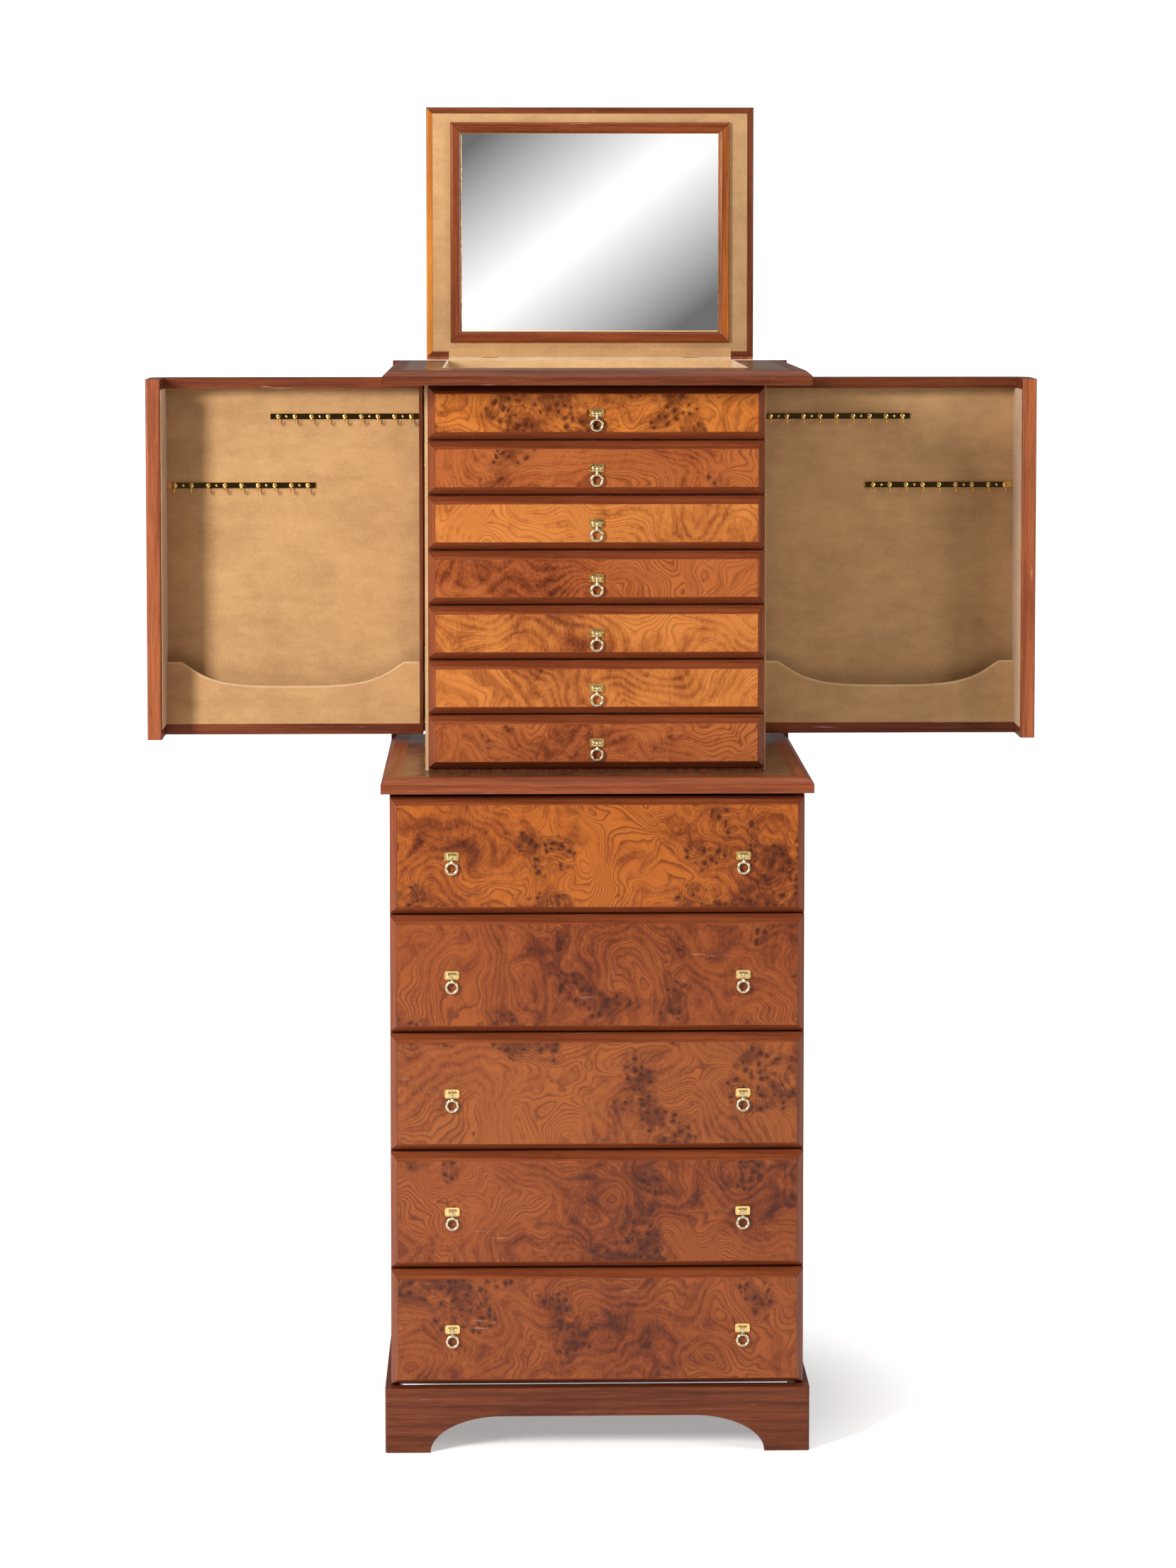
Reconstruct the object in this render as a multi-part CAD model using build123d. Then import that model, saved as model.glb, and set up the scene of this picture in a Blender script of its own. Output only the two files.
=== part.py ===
from build123d import *
import os

# A free-standing jewelry armoire on a plinth: five wide drawers below, a narrow column of seven
# drawers above, a shallow door tray hinged to each side of the column, and a mirrored lid over a
# lined well in the upper top. It is drawn with both doors and the lid open and the drawers shut.
#
# Millimetres. X runs to the right, Y to the back and Z up. While the pieces are drawn, X is zero
# on the centre line, Y is zero on the front face of the lower top, and Z is zero on the floor.
# At the end everything is moved along Y, so that the origin is the centre of the base of its box.

# ---- Driving dimensions -------------------------------------------------------------------------

# Plinth
plinth_height = 69.0
plinth_overhang = 6.0  # each side, past the lower case
plinth_board = 15.0
plinth_corner_round = 3.0
plinth_back_inset = 6.0  # from the back edge of the lower top
foot_width = 48.0
arch_height = 39.0
arch_curve = 76.0  # length of the curved end of each arch

# Lower case
lower_case_width = 439.0
lower_case_height = 635.3
lower_front_setback = 21.0  # front edge of the case, behind the front of the lower top
lower_back_inset = 4.0
lower_side_board = 15.0
lower_divider = 10.0
lower_reveal = 3.0  # left open between the highest drawer front and the lower top
lower_drawers = 5

# Column, the upper case
upper_case_width = 358.0  # over the suede on its sides
upper_case_height = 413.9
upper_front_setback = 56.0
upper_back_inset = 8.0  # from the back edge of the upper top
upper_side_board = 12.0
upper_divider = 8.0
upper_toe = 3.9  # from the lower top to the lowest drawer front
upper_reveal = 1.2
upper_drawers = 7
side_lining = 0.8
side_lining_margin = 3.0

# Tops
lower_top_overhang = 9.0  # each side, past the lower case
lower_top_depth = 370.0
lower_top_thickness = 16.2
upper_top_depth = 374.0
upper_top_thickness = 15.5
upper_top_lip = 12.8  # each side, past the closed doors
top_edge_run = 7.0  # chamfer along the front and side edges
top_edge_drop = 6.0

# Backs
back_panel = 5.0
back_rebate = 4.0  # from the back edge of a case to its back panel

# Drawer fronts
front_edge = 6.0  # square edge behind the bevel
front_bevel_run = 7.5
front_bevel_depth = 12.0
front_gap = 2.2

# Drawer boxes
box_wall = 8.0
box_floor = 4.0
box_side_clearance = 1.0
box_floor_clearance = 0.6
box_head_clearance = 3.0
box_back_clearance = 4.0

# Pulls: a plate with two lugs, and a ring on a pin between them
plate_width = 16.2
plate_height = 9.9
plate_thickness = 1.4
plate_round = 2.4
lug_radius = 1.6
lug_width = 1.6
lug_inner = 2.9  # from the middle of the plate to each lug
pin_radius = 0.8
pin_clearance = 0.06
stem_radius = 1.1
stem_clearance = 0.5  # from the stem to the plate
ring_bore = 8.8
ring_outside = 14.7
pull_height = 24.8  # from the top of the plate to the bottom of the hanging ring
lower_pull_spacing = 308.0

# Well in the upper top
well_length = 323.0  # along X, inside its lining
well_width = 262.0  # along Y, inside its lining
well_depth = 23.0
well_front_rail = 97.5
well_lining_wall = 2.5

# Lid, open and upright
lid_width = 374.0
lid_thickness = 14.0
lid_front_margin = 88.4  # from the front of the upper top to the closed lid
lid_rest_gap = 0.3  # under the closed lid
lid_edge_run = 7.0
lid_edge_drop = 5.0
lid_lining_thickness = 1.2
lid_rim = 7.0  # wood left round the lining
lid_foot_rim = 4.0

# Mirror in the lid
mirror_frame_width = 319.0
mirror_frame_height = 251.0
mirror_frame_bar = 12.5
mirror_frame_thickness = 5.5
mirror_frame_round = 2.5
mirror_top_margin = 17.0
mirror_glass_thickness = 2.5

# Lid hinges
lid_hinge_length = 56.0
lid_hinge_spacing = 230.0
lid_barrel_radius = 2.2
lid_barrel_offset = 2.6  # from the back of the upper top to the pin's axis
lid_leaf_height = 12.0

# Doors
door_width = 307.6  # from the hinge edge to the outer face
door_depth = 28.0
door_top_gap = 2.4
door_bottom_gap = 7.5
door_setback = 2.7  # closed door's front, behind the front of the upper top
door_end_board = 12.0
door_panel = 6.0
door_stile = 4.0
return_thickness = 16.3
return_projection = 48.0  # past the front of the tray
return_corner_round = 20.0
return_front_round = 2.0
door_lining = 1.5
return_lining = 1.0

# Pocket at the foot of each door
pocket_wall = 2.5
pocket_end_height = 69.0
pocket_middle_height = 41.5
pocket_end_flat = 17.0
# How the brim dips: (share of the half-width, share of the depth), from one end to the other.
pocket_dip = [(-1, 0), (-0.78, 0.61), (-0.5, 0.92), (0, 1), (0.5, 0.92), (0.78, 0.61), (1, 0)]
pocket_dip_slope = 0.65

# Door hinges
door_axis_gap = 7.7  # from the column's side to the pin's axis
door_edge_gap = 3.7  # from the pin's axis to the door's edge
door_axis_behind = 2.0  # from the tray's front to the pin's axis
door_hinge_length = 84.0
door_hinge_inset = 14.0
door_barrel_radius = 3.0
door_leaf_depth = 20.0
leaf_thickness = 1.2
hinge_pin_radius = 1.1
hinge_clearance = 0.08
knuckle_gap = 0.4

# Hook rails
rail_length = 169.0
rail_height = 7.2
rail_thickness = 1.6
rail_drops = (44.3, 122.5)  # from the top of the door to each rail's centre
hooks_per_rail = 9
hook_pitch = 18.8
hook_wire_radius = 0.8
hook_base_radius = 2.6
hook_base_thickness = 1.2
hook_neck = 3.4
hook_drop = 7.4
hook_mouth = 4.6
hook_tip = 4.2
rail_screw_radius = 1.3
rail_screw_height = 0.6

# ---- Levels and planes that follow from them ------------------------------------------------------

plinth_width = lower_case_width + 2 * plinth_overhang
lower_case_top = plinth_height + lower_case_height
lower_top_surface = lower_case_top + lower_top_thickness
upper_case_top = lower_top_surface + upper_case_height
upper_top_surface = upper_case_top + upper_top_thickness

lower_case_back = lower_top_depth - lower_back_inset
upper_case_back = upper_top_depth - upper_back_inset
lower_half = lower_case_width / 2
upper_half = upper_case_width / 2
upper_wood_half = upper_half - side_lining

door_axis_x = upper_half + door_axis_gap
door_edge_x = door_axis_x + door_edge_gap
door_outer_x = door_edge_x + door_width
door_axis_y = door_setback + door_edge_gap + door_width
tray_front = door_axis_y - door_axis_behind
tray_back = tray_front + door_depth
panel_inner = tray_back - door_panel
door_low = lower_top_surface + door_bottom_gap
door_high = upper_case_top - door_top_gap
return_inner_x = door_outer_x - return_thickness
lining_face = panel_inner - door_lining

upper_top_half = door_axis_x + (tray_back - door_axis_y) + upper_top_lip
lower_top_half = lower_half + lower_top_overhang

well_half = well_length / 2
well_front = well_front_rail + well_lining_wall
well_back = well_front + well_width
well_floor = upper_top_surface - well_depth
well_hole_half = well_half + well_lining_wall
well_hole_back = well_back + well_lining_wall

lid_axis_y = upper_top_depth + lid_barrel_offset
lid_axis_z = upper_top_surface + lid_rest_gap
lid_foot = lid_axis_z + lid_barrel_offset
lid_height = upper_top_depth - lid_front_margin
lid_head = lid_foot + lid_height
mirror_head = lid_head - mirror_top_margin
mirror_foot = mirror_head - mirror_frame_height

ring_radius = (ring_outside + ring_bore) / 4
ring_wire_radius = (ring_outside - ring_bore) / 4
pull_axis_y = -(plate_thickness + stem_clearance + stem_radius)
ring_centre_z = plate_height / 2 - pull_height + ring_outside / 2
pin_half = lug_inner + lug_width


# ---- Shared shapes --------------------------------------------------------------------------------

def board(x, y, z):
    """A straight board between its low and high faces along X, Y and Z."""
    sides = [high - low for low, high in (x, y, z)]
    centre = [(low + high) / 2 for low, high in (x, y, z)]
    return Pos(*centre) * Box(*sides)


def prism(plane, points, reach):
    """A flat outline in a plane, carried a long way to both sides of it."""
    return extrude(plane * Polygon(*points, align=None), amount=reach, both=True)


def edged_top(half, back, low, high):
    """A top with chamfered front and side edges, mitred at the front corners."""
    across = [
        (-half, low),
        (half, low),
        (half, high - top_edge_drop),
        (half - top_edge_run, high),
        (-half + top_edge_run, high),
        (-half, high - top_edge_drop),
    ]
    along = [(0, low), (back, low), (back, high), (top_edge_run, high), (0, high - top_edge_drop)]
    return prism(Plane.XZ, across, 2 * back) & prism(Plane.YZ, along, 2 * half)


def both_sides(pieces):
    """Pieces made for the right side, and the same pieces mirrored to the left."""
    return pieces + [mirror(piece, Plane.YZ) for piece in pieces]


def along_x(piece):
    """A piece drawn upright along Z, laid down along X."""
    return Rot(0, 90, 0) * piece


def knuckles(length, radius):
    """The fixed and the moving knuckles of a hinge, upright and centred, with the pin in the fixed."""
    third = length / 3
    end = Cylinder(radius, third - knuckle_gap)
    offset = third + knuckle_gap / 2
    fixed = Cylinder(hinge_pin_radius, length - third)
    for side in (-1, 1):
        fixed += Pos(0, 0, side * offset) * end
    moving = Cylinder(radius, third - knuckle_gap) - Cylinder(
        hinge_pin_radius + hinge_clearance, length
    )
    return fixed, moving


# ---- Plinth ---------------------------------------------------------------------------------------

def arched_board(length):
    """An upright board along X whose lower edge rises in an arch between two feet."""
    upright = board((-length / 2, length / 2), (0, plinth_board), (0, plinth_height))
    flat_half = length / 2 - foot_width - arch_curve
    arch = Rectangle(2 * flat_half, 2 * arch_height)
    for side in (-1, 1):
        arch += Pos(side * flat_half, 0) * Ellipse(arch_curve, arch_height)
    return upright - extrude(Plane.XZ * arch, amount=2 * plinth_board, both=True)


def make_plinth():
    """Four arched boards; the front and back run the full width."""
    back = lower_top_depth - plinth_back_inset
    front = arched_board(plinth_width)
    front_edges = front.edges().filter_by(Axis.Z).group_by(Axis.Y)[0]
    corners = front_edges.sort_by(Axis.X)[0:1] + front_edges.sort_by(Axis.X)[-1:]
    pieces = [fillet(corners, plinth_corner_round)]
    pieces.append(Pos(0, back - plinth_board, 0) * arched_board(plinth_width))
    side_length = back - 2 * plinth_board
    for x in (-plinth_width / 2 + plinth_board, plinth_width / 2):
        side = Rot(0, 0, 90) * arched_board(side_length)
        pieces.append(Pos(x, plinth_board + side_length / 2, 0) * side)
    return pieces


# ---- Cases and tops -------------------------------------------------------------------------------

def pitch_of(low, high, count):
    return (high - low) / count


lower_zone = (plinth_height, lower_case_top - lower_reveal)
upper_zone = (lower_top_surface + upper_toe, upper_case_top - upper_reveal)
lower_pitch = pitch_of(*lower_zone, lower_drawers)
upper_pitch = pitch_of(*upper_zone, upper_drawers)


def make_case(half, side_board, divider, y, z, zone_low, pitch, count):
    """Two sides, a floor, and a dust board between each pair of drawers."""
    inner = half - side_board
    inside_back = y[1] - back_rebate - back_panel
    pieces = both_sides([board((inner, half), y, z)])
    levels = [zone_low + i * pitch for i in range(1, count)]
    pieces.append(board((-inner, inner), (y[0], inside_back), (z[0], zone_low + divider / 2)))
    for level in levels:
        span = (level - divider / 2, level + divider / 2)
        pieces.append(board((-inner, inner), (y[0], inside_back), span))
    return pieces


def make_lower_case():
    y = (lower_front_setback, lower_case_back)
    z = (plinth_height, lower_case_top)
    return make_case(
        lower_half, lower_side_board, lower_divider, y, z, lower_zone[0], lower_pitch, lower_drawers
    )


def make_upper_case():
    y = (upper_front_setback, upper_case_back)
    z = (lower_top_surface, upper_case_top)
    return make_case(
        upper_wood_half, upper_side_board, upper_divider, y, z, upper_zone[0], upper_pitch, upper_drawers
    )


def make_back_panels():
    """A thin back let in between the sides of each case; the upper one stops under the well."""
    pieces = []
    under_well = well_floor - well_lining_wall
    for inner, back, z in (
        (lower_half - lower_side_board, lower_case_back, (plinth_height, lower_case_top)),
        (upper_wood_half - upper_side_board, upper_case_back, (lower_top_surface, under_well)),
    ):
        y = (back - back_rebate - back_panel, back - back_rebate)
        pieces.append(board((-inner, inner), y, z))
    return pieces


def make_lower_top():
    return [edged_top(lower_top_half, lower_top_depth, lower_case_top, lower_top_surface)]


def make_upper_top():
    """The upper top as four rails round the well."""
    top = edged_top(upper_top_half, upper_top_depth, upper_case_top, upper_top_surface)
    z = (upper_case_top - 1, upper_top_surface + 1)
    wide = (-upper_top_half - 1, upper_top_half + 1)
    front = top & board(wide, (-1, well_front_rail), z)
    back = top & board(wide, (well_hole_back, upper_top_depth + 1), z)
    side = top & board((well_hole_half, wide[1]), (well_front_rail, well_hole_back), z)
    return [front, back] + both_sides([side])


def make_well_lining():
    """A suede-covered tray that fills the hole in the upper top, and the suede on the column's sides."""
    wall = well_lining_wall
    z = (well_floor, upper_top_surface)
    across = (-well_hole_half, well_hole_half)
    pieces = [
        board(across, (well_front_rail, well_hole_back), (well_floor - wall, well_floor)),
        board(across, (well_front_rail, well_front), z),
        board(across, (well_back, well_hole_back), z),
    ]
    pieces += both_sides([board((well_half, well_hole_half), (well_front, well_back), z)])
    side = board(
        (upper_wood_half, upper_half),
        (upper_front_setback + side_lining_margin, tray_front - door_edge_gap),
        (lower_top_surface + upper_toe, upper_case_top - side_lining_margin),
    )
    return pieces + both_sides([side])


# ---- Lid ------------------------------------------------------------------------------------------

def make_lid_panel():
    """An upright panel, bevelled at the back, with a shallow recess for the lining at the front."""
    half = lid_width / 2
    y = (lid_axis_y, lid_axis_y + lid_thickness)
    across = [
        (-half, y[0]),
        (half, y[0]),
        (half, y[1] - lid_edge_drop),
        (half - lid_edge_run, y[1]),
        (-half + lid_edge_run, y[1]),
        (-half, y[1] - lid_edge_drop),
    ]
    along = [
        (y[0], lid_foot),
        (y[1], lid_foot),
        (y[1], lid_head - lid_edge_run),
        (y[1] - lid_edge_drop, lid_head),
        (y[0], lid_head),
    ]
    panel = prism(Plane.XY, across, 2 * lid_head) & prism(Plane.YZ, along, lid_width)
    recess = board(
        (-half + lid_rim, half - lid_rim),
        (lid_axis_y - 1, lid_axis_y + lid_lining_thickness),
        (lid_foot + lid_foot_rim, lid_head - lid_rim),
    )
    return [panel - recess]


def make_lid_lining():
    half = lid_width / 2 - lid_rim
    y = (lid_axis_y, lid_axis_y + lid_lining_thickness)
    return [board((-half, half), y, (lid_foot + lid_foot_rim, lid_head - lid_rim))]


def make_mirror_frame():
    """Four bars with mitred corners and a rounded outer edge."""
    half = mirror_frame_width / 2
    y = (lid_axis_y - mirror_frame_thickness, lid_axis_y)
    whole = board((-half, half), y, (mirror_foot, mirror_head))
    whole = fillet(
        whole.faces().sort_by(Axis.Y)[0].edges(), mirror_frame_round
    )
    bar = mirror_frame_bar
    whole -= board(
        (-half + bar, half - bar), (y[0] - 1, y[1] + 1), (mirror_foot + bar, mirror_head - bar)
    )
    top = [
        (-half, mirror_head),
        (half, mirror_head),
        (half - bar, mirror_head - bar),
        (-half + bar, mirror_head - bar),
    ]
    side = [
        (half, mirror_head),
        (half, mirror_foot),
        (half - bar, mirror_foot + bar),
        (half - bar, mirror_head - bar),
    ]
    middle = (mirror_head + mirror_foot) / 2
    bottom = [(x, 2 * middle - z) for x, z in top]
    bars = [whole & prism(Plane.XZ, outline, 2 * lid_axis_y) for outline in (top, bottom)]
    return bars + both_sides([whole & prism(Plane.XZ, side, 2 * lid_axis_y)])


def make_mirror_glass():
    half = mirror_frame_width / 2 - mirror_frame_bar
    z = (mirror_foot + mirror_frame_bar, mirror_head - mirror_frame_bar)
    return [board((-half, half), (lid_axis_y - mirror_glass_thickness, lid_axis_y), z)]


def lid_hinge_pieces():
    """The fixed and the moving pieces of the two lid hinges."""
    fixed, moving = knuckles(lid_hinge_length, lid_barrel_radius)
    third = lid_hinge_length / 3
    half = lid_hinge_length / 2
    leaf_back = upper_top_depth + leaf_thickness
    fixed = Pos(0, lid_axis_y, lid_axis_z) * along_x(fixed)
    moving = Pos(0, lid_axis_y, lid_axis_z) * along_x(moving)
    low_leaf = (upper_top_surface - lid_leaf_height, lid_axis_z - lid_rest_gap)
    for x in ((-half, -third / 2 - knuckle_gap), (third / 2 + knuckle_gap, half)):
        fixed += board(x, (upper_top_depth, leaf_back), low_leaf)
        fixed += board(x, (upper_top_depth, lid_axis_y), (low_leaf[1] - leaf_thickness, low_leaf[1]))
    x = (-third / 2 + knuckle_gap / 2, third / 2 - knuckle_gap / 2)
    moving += board(
        x, (lid_axis_y, lid_axis_y + lid_leaf_height),
        (lid_foot - leaf_thickness, lid_foot),
    )
    places = [Pos(side * lid_hinge_spacing / 2, 0, 0) for side in (-1, 1)]
    return [place * fixed for place in places], [place * moving for place in places]


# ---- Doors ----------------------------------------------------------------------------------------

def make_door():
    """The right door, open: a shallow tray with a deep return along its outer edge."""
    reach = (door_edge_x, door_outer_x)
    front = tray_front - return_projection
    envelope = board(reach, (front, tray_back), (door_low, door_high))
    upright = envelope.edges().filter_by(Axis.Z)
    outer = upright.group_by(Axis.X)[-1].sort_by(Axis.Y)
    envelope = fillet(outer[-1:], return_corner_round)
    inside = (door_edge_x + door_stile, return_inner_x)
    tray = (tray_front, panel_inner)
    z = (door_low, door_high)
    stile = board((door_edge_x, inside[0]), tray, z)
    panel = board((door_edge_x, return_inner_x), (panel_inner, tray_back), z) & envelope
    outer_return = board((return_inner_x, door_outer_x), (front, tray_back), z) & envelope
    front_edges = outer_return.edges().filter_by(Axis.Z).group_by(Axis.Y)[0]
    outer_return = fillet(front_edges, return_front_round)
    head = board(inside, tray, (door_high - door_end_board, door_high))
    foot = board(inside, tray, (door_low, door_low + door_end_board))
    return [stile, panel, outer_return, head, foot]


def make_door_lining():
    """Suede on the panel and the return, and the front of the pocket with its dipped edge."""
    left = door_edge_x + door_stile
    right = return_inner_x - return_lining
    low = door_low + door_end_board
    high = door_high - door_end_board
    panel = board((left, right), (lining_face, panel_inner), (low, high))
    inner = board(
        (right, return_inner_x),
        (tray_front - return_projection + return_front_round, panel_inner),
        (low, high),
    )
    wall = board((left, right), (tray_front, tray_front + pocket_wall), (low, low + pocket_end_height))
    middle = (left + right) / 2
    dip_half = (right - left) / 2 - pocket_end_flat
    brim = low + pocket_end_height
    depth = pocket_end_height - pocket_middle_height
    dip = Spline(
        *[(middle + dip_half * across, brim - depth * down) for across, down in pocket_dip],
        tangents=[(1, -pocket_dip_slope), (1, pocket_dip_slope)],
    )
    lid_line = Polyline(
        (middle + dip_half, brim),
        (middle + dip_half, brim + 1),
        (middle - dip_half, brim + 1),
        (middle - dip_half, brim),
    )
    cut = Plane.XZ * make_face(Curve() + [dip, lid_line])
    wall -= extrude(cut, amount=2 * tray_back, both=True)
    return [panel, inner, wall]


def hook():
    """A small hook: a round base, and a wire that runs out, down and up again to an open tip."""
    path = FilletPolyline(
        (0, 0),
        (-hook_neck, 0),
        (-hook_neck, -hook_drop),
        (-hook_neck - hook_mouth, -hook_drop),
        (-hook_neck - hook_mouth, -hook_drop + hook_tip),
        radius=hook_mouth / 2 - 0.1,
    )
    route = Plane.YZ * path
    wire = sweep(Plane.XZ * Circle(hook_wire_radius), path=route)
    base = Rot(90, 0, 0) * Cylinder(
        hook_base_radius, hook_base_thickness, align=(Align.CENTER, Align.CENTER, Align.MIN)
    )
    return base + wire


def make_door_hardware():
    """Two hook rails with their screws and hooks, and the door's half of each hinge."""
    face = lining_face - rail_thickness
    pieces = []
    starts = (door_edge_x + door_stile, return_inner_x - return_lining - rail_length)
    hook_shape = hook()
    screw = Rot(90, 0, 0) * Cylinder(
        rail_screw_radius, rail_screw_height, align=(Align.CENTER, Align.CENTER, Align.MIN)
    )
    for start, drop in zip(starts, rail_drops):
        z = door_high - drop
        middle = start + rail_length / 2
        rail_z = (z - rail_height / 2, z + rail_height / 2)
        pieces.append(board((start, start + rail_length), (face, lining_face), rail_z))
        for i in range(hooks_per_rail):
            x = middle + (i - (hooks_per_rail - 1) / 2) * hook_pitch
            pieces.append(Pos(x, face, z) * hook_shape)
        for gap in (-3, -1.5, 1.5, 3):
            pieces.append(Pos(middle + gap * hook_pitch + screw_shift(gap), face, z) * screw)
    return pieces


def screw_shift(gap):
    """Moves a screw to the middle of the space between two hooks."""
    whole = gap == int(gap)
    return (0.5 if gap > 0 else -0.5) * hook_pitch if whole else 0.0


def door_hinge_levels():
    low = door_low + door_hinge_inset + door_hinge_length / 2
    high = door_high - door_hinge_inset - door_hinge_length / 2
    return low, high


def door_hinge_pieces():
    """The fixed and the moving pieces of the right door's two hinges."""
    fixed, moving = knuckles(door_hinge_length, door_barrel_radius)
    third = door_hinge_length / 3
    half = door_hinge_length / 2
    for side in (-1, 1):
        fixed += Pos(0, 0, side * half) * Sphere(door_barrel_radius)
    fixed = Pos(door_axis_x, door_axis_y, 0) * fixed
    moving = Pos(door_axis_x, door_axis_y, 0) * moving
    case_leaf = (upper_wood_half, upper_wood_half + leaf_thickness)
    web_y = (door_axis_y + hinge_pin_radius, door_axis_y + hinge_pin_radius + leaf_thickness)
    for z in ((-half, -third / 2 - knuckle_gap), (third / 2 + knuckle_gap, half)):
        fixed += board(case_leaf, (web_y[0], door_axis_y + door_leaf_depth), z)
        fixed += board((case_leaf[0], door_axis_x - hinge_pin_radius), web_y, z)
    z = (-third / 2 + knuckle_gap / 2, third / 2 - knuckle_gap / 2)
    moving += board(
        (door_edge_x - leaf_thickness, door_edge_x),
        (door_axis_y + hinge_clearance, door_axis_y + door_leaf_depth),
        z,
    )
    places = [Pos(0, 0, level) for level in door_hinge_levels()]
    return [place * fixed for place in places], [place * moving for place in places]


# ---- Drawers and pulls ----------------------------------------------------------------------------

def raised_front(half, back, low, high):
    """A drawer front: a square edge, and a bevel on all four sides up to a flat field."""
    edge = back - front_edge
    field = edge - front_bevel_depth
    run = front_bevel_run
    across = [
        (-half, back), (-half, edge), (-half + run, field), (half - run, field), (half, edge), (half, back),
    ]
    along = [(back, low), (edge, low), (field, low + run), (field, high - run), (edge, high), (back, high)]
    return prism(Plane.XY, across, 2 * high) & prism(Plane.YZ, along, 2 * half)


def pull_plate():
    """The fixed plate of a pull, its back at Y zero, with two lugs that hold the ring's pin."""
    plate = extrude(
        Plane.XZ * RectangleRounded(plate_width, plate_height, plate_round), amount=plate_thickness
    )
    for side in (-1, 1):
        x = sorted((side * lug_inner, side * (lug_inner + lug_width)))
        lug = board(x, (pull_axis_y, -plate_thickness / 2), (-lug_radius, lug_radius))
        round_end = along_x(Cylinder(lug_radius, lug_width))
        lug += Pos(sum(x) / 2, pull_axis_y, 0) * round_end
        plate += lug
    bore = Pos(0, pull_axis_y, 0) * along_x(Cylinder(pin_radius + pin_clearance, 2 * pin_half + 2))
    return plate - bore


def drop_ring():
    """The hanging ring with its stem and its pin, placed as the plate is."""
    ring = Pos(0, pull_axis_y, ring_centre_z) * Rot(90, 0, 0) * Torus(ring_radius, ring_wire_radius)
    stem_low = ring_centre_z + ring_radius
    stem = Pos(0, pull_axis_y, stem_low) * Cylinder(
        stem_radius, -stem_low, align=(Align.CENTER, Align.CENTER, Align.MIN)
    )
    pin = Pos(0, pull_axis_y, 0) * along_x(Cylinder(pin_radius, 2 * pin_half))
    return ring + stem + pin


def drawer_box(half, y, z):
    """Two sides, a back, an inner front and a floor."""
    inner = half - box_wall
    sides = both_sides([board((inner, half), y, z)])
    inner_front = board((-inner, inner), (y[0], y[0] + box_wall), z)
    back = board((-inner, inner), (y[1] - box_wall, y[1]), z)
    floor = board((-inner, inner), (y[0] + box_wall, y[1] - box_wall), (z[0], z[0] + box_floor))
    return sides + [inner_front, back, floor]


def add_drawer(nodes, name, ring_names, fit):
    """Adds one drawer's box, its front with the plates, and its rings, and notes where they are."""
    low, high = fit["slot"]
    box_z = (low + fit["divider"] / 2 + box_floor_clearance, min(high, fit["ceiling"]) - box_head_clearance)
    box_y = (fit["front"], fit["back"] - box_back_clearance)
    box_half = fit["inner"] - box_side_clearance
    nodes[name + "_box"] = drawer_box(box_half, box_y, box_z)
    front_z = (low + front_gap / 2, high - front_gap / 2)
    front = raised_front(fit["half"], fit["front"], *front_z)
    field = fit["front"] - front_edge - front_bevel_depth
    middle = sum(front_z) / 2
    pieces = [front]
    for ring_name, x in ring_names:
        pieces.append(Pos(x, field, middle) * pull_plate())
        nodes[ring_name] = [Pos(x, field, middle) * drop_ring()]
        ring_places[ring_name] = (x, field + pull_axis_y, middle)
    nodes[name + "_front"] = pieces
    drawer_spaces[name] = (box_half - box_wall, (box_y[0] + box_wall, box_y[1] - box_wall), box_z)


def add_upper_drawers(nodes):
    """Seven narrow drawers, numbered from the top; the first is shallower, under the well."""
    inside_back = upper_case_back - back_rebate - back_panel
    for i in range(upper_drawers):
        slot_high = upper_zone[1] - i * upper_pitch
        slot_low = slot_high - upper_pitch
        under = slot_high - upper_divider / 2 if i else well_floor - well_lining_wall
        fit = {
            "slot": (slot_low, slot_high), "divider": upper_divider, "ceiling": under,
            "front": upper_front_setback, "back": inside_back, "half": upper_half,
            "inner": upper_wood_half - upper_side_board,
        }
        add_drawer(nodes, f"upper_drawer_{i + 1}", [(f"upper_ring_{i + 1}", 0.0)], fit)


def add_lower_drawers(nodes):
    """Five wide drawers, numbered from the top, each with two pulls."""
    inside_back = lower_case_back - back_rebate - back_panel
    x = lower_pull_spacing / 2
    for i in range(lower_drawers):
        slot_high = lower_zone[1] - i * lower_pitch
        slot_low = slot_high - lower_pitch
        fit = {
            "slot": (slot_low, slot_high), "divider": lower_divider,
            "ceiling": slot_high - lower_divider / 2,
            "front": lower_front_setback, "back": inside_back, "half": lower_half,
            "inner": lower_half - lower_side_board,
        }
        rings = [(f"lower_ring_{i + 1}_left", -x), (f"lower_ring_{i + 1}_right", x)]
        add_drawer(nodes, f"lower_drawer_{i + 1}", rings, fit)


# ---- All pieces -----------------------------------------------------------------------------------

ring_places = {}
drawer_spaces = {}


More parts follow.
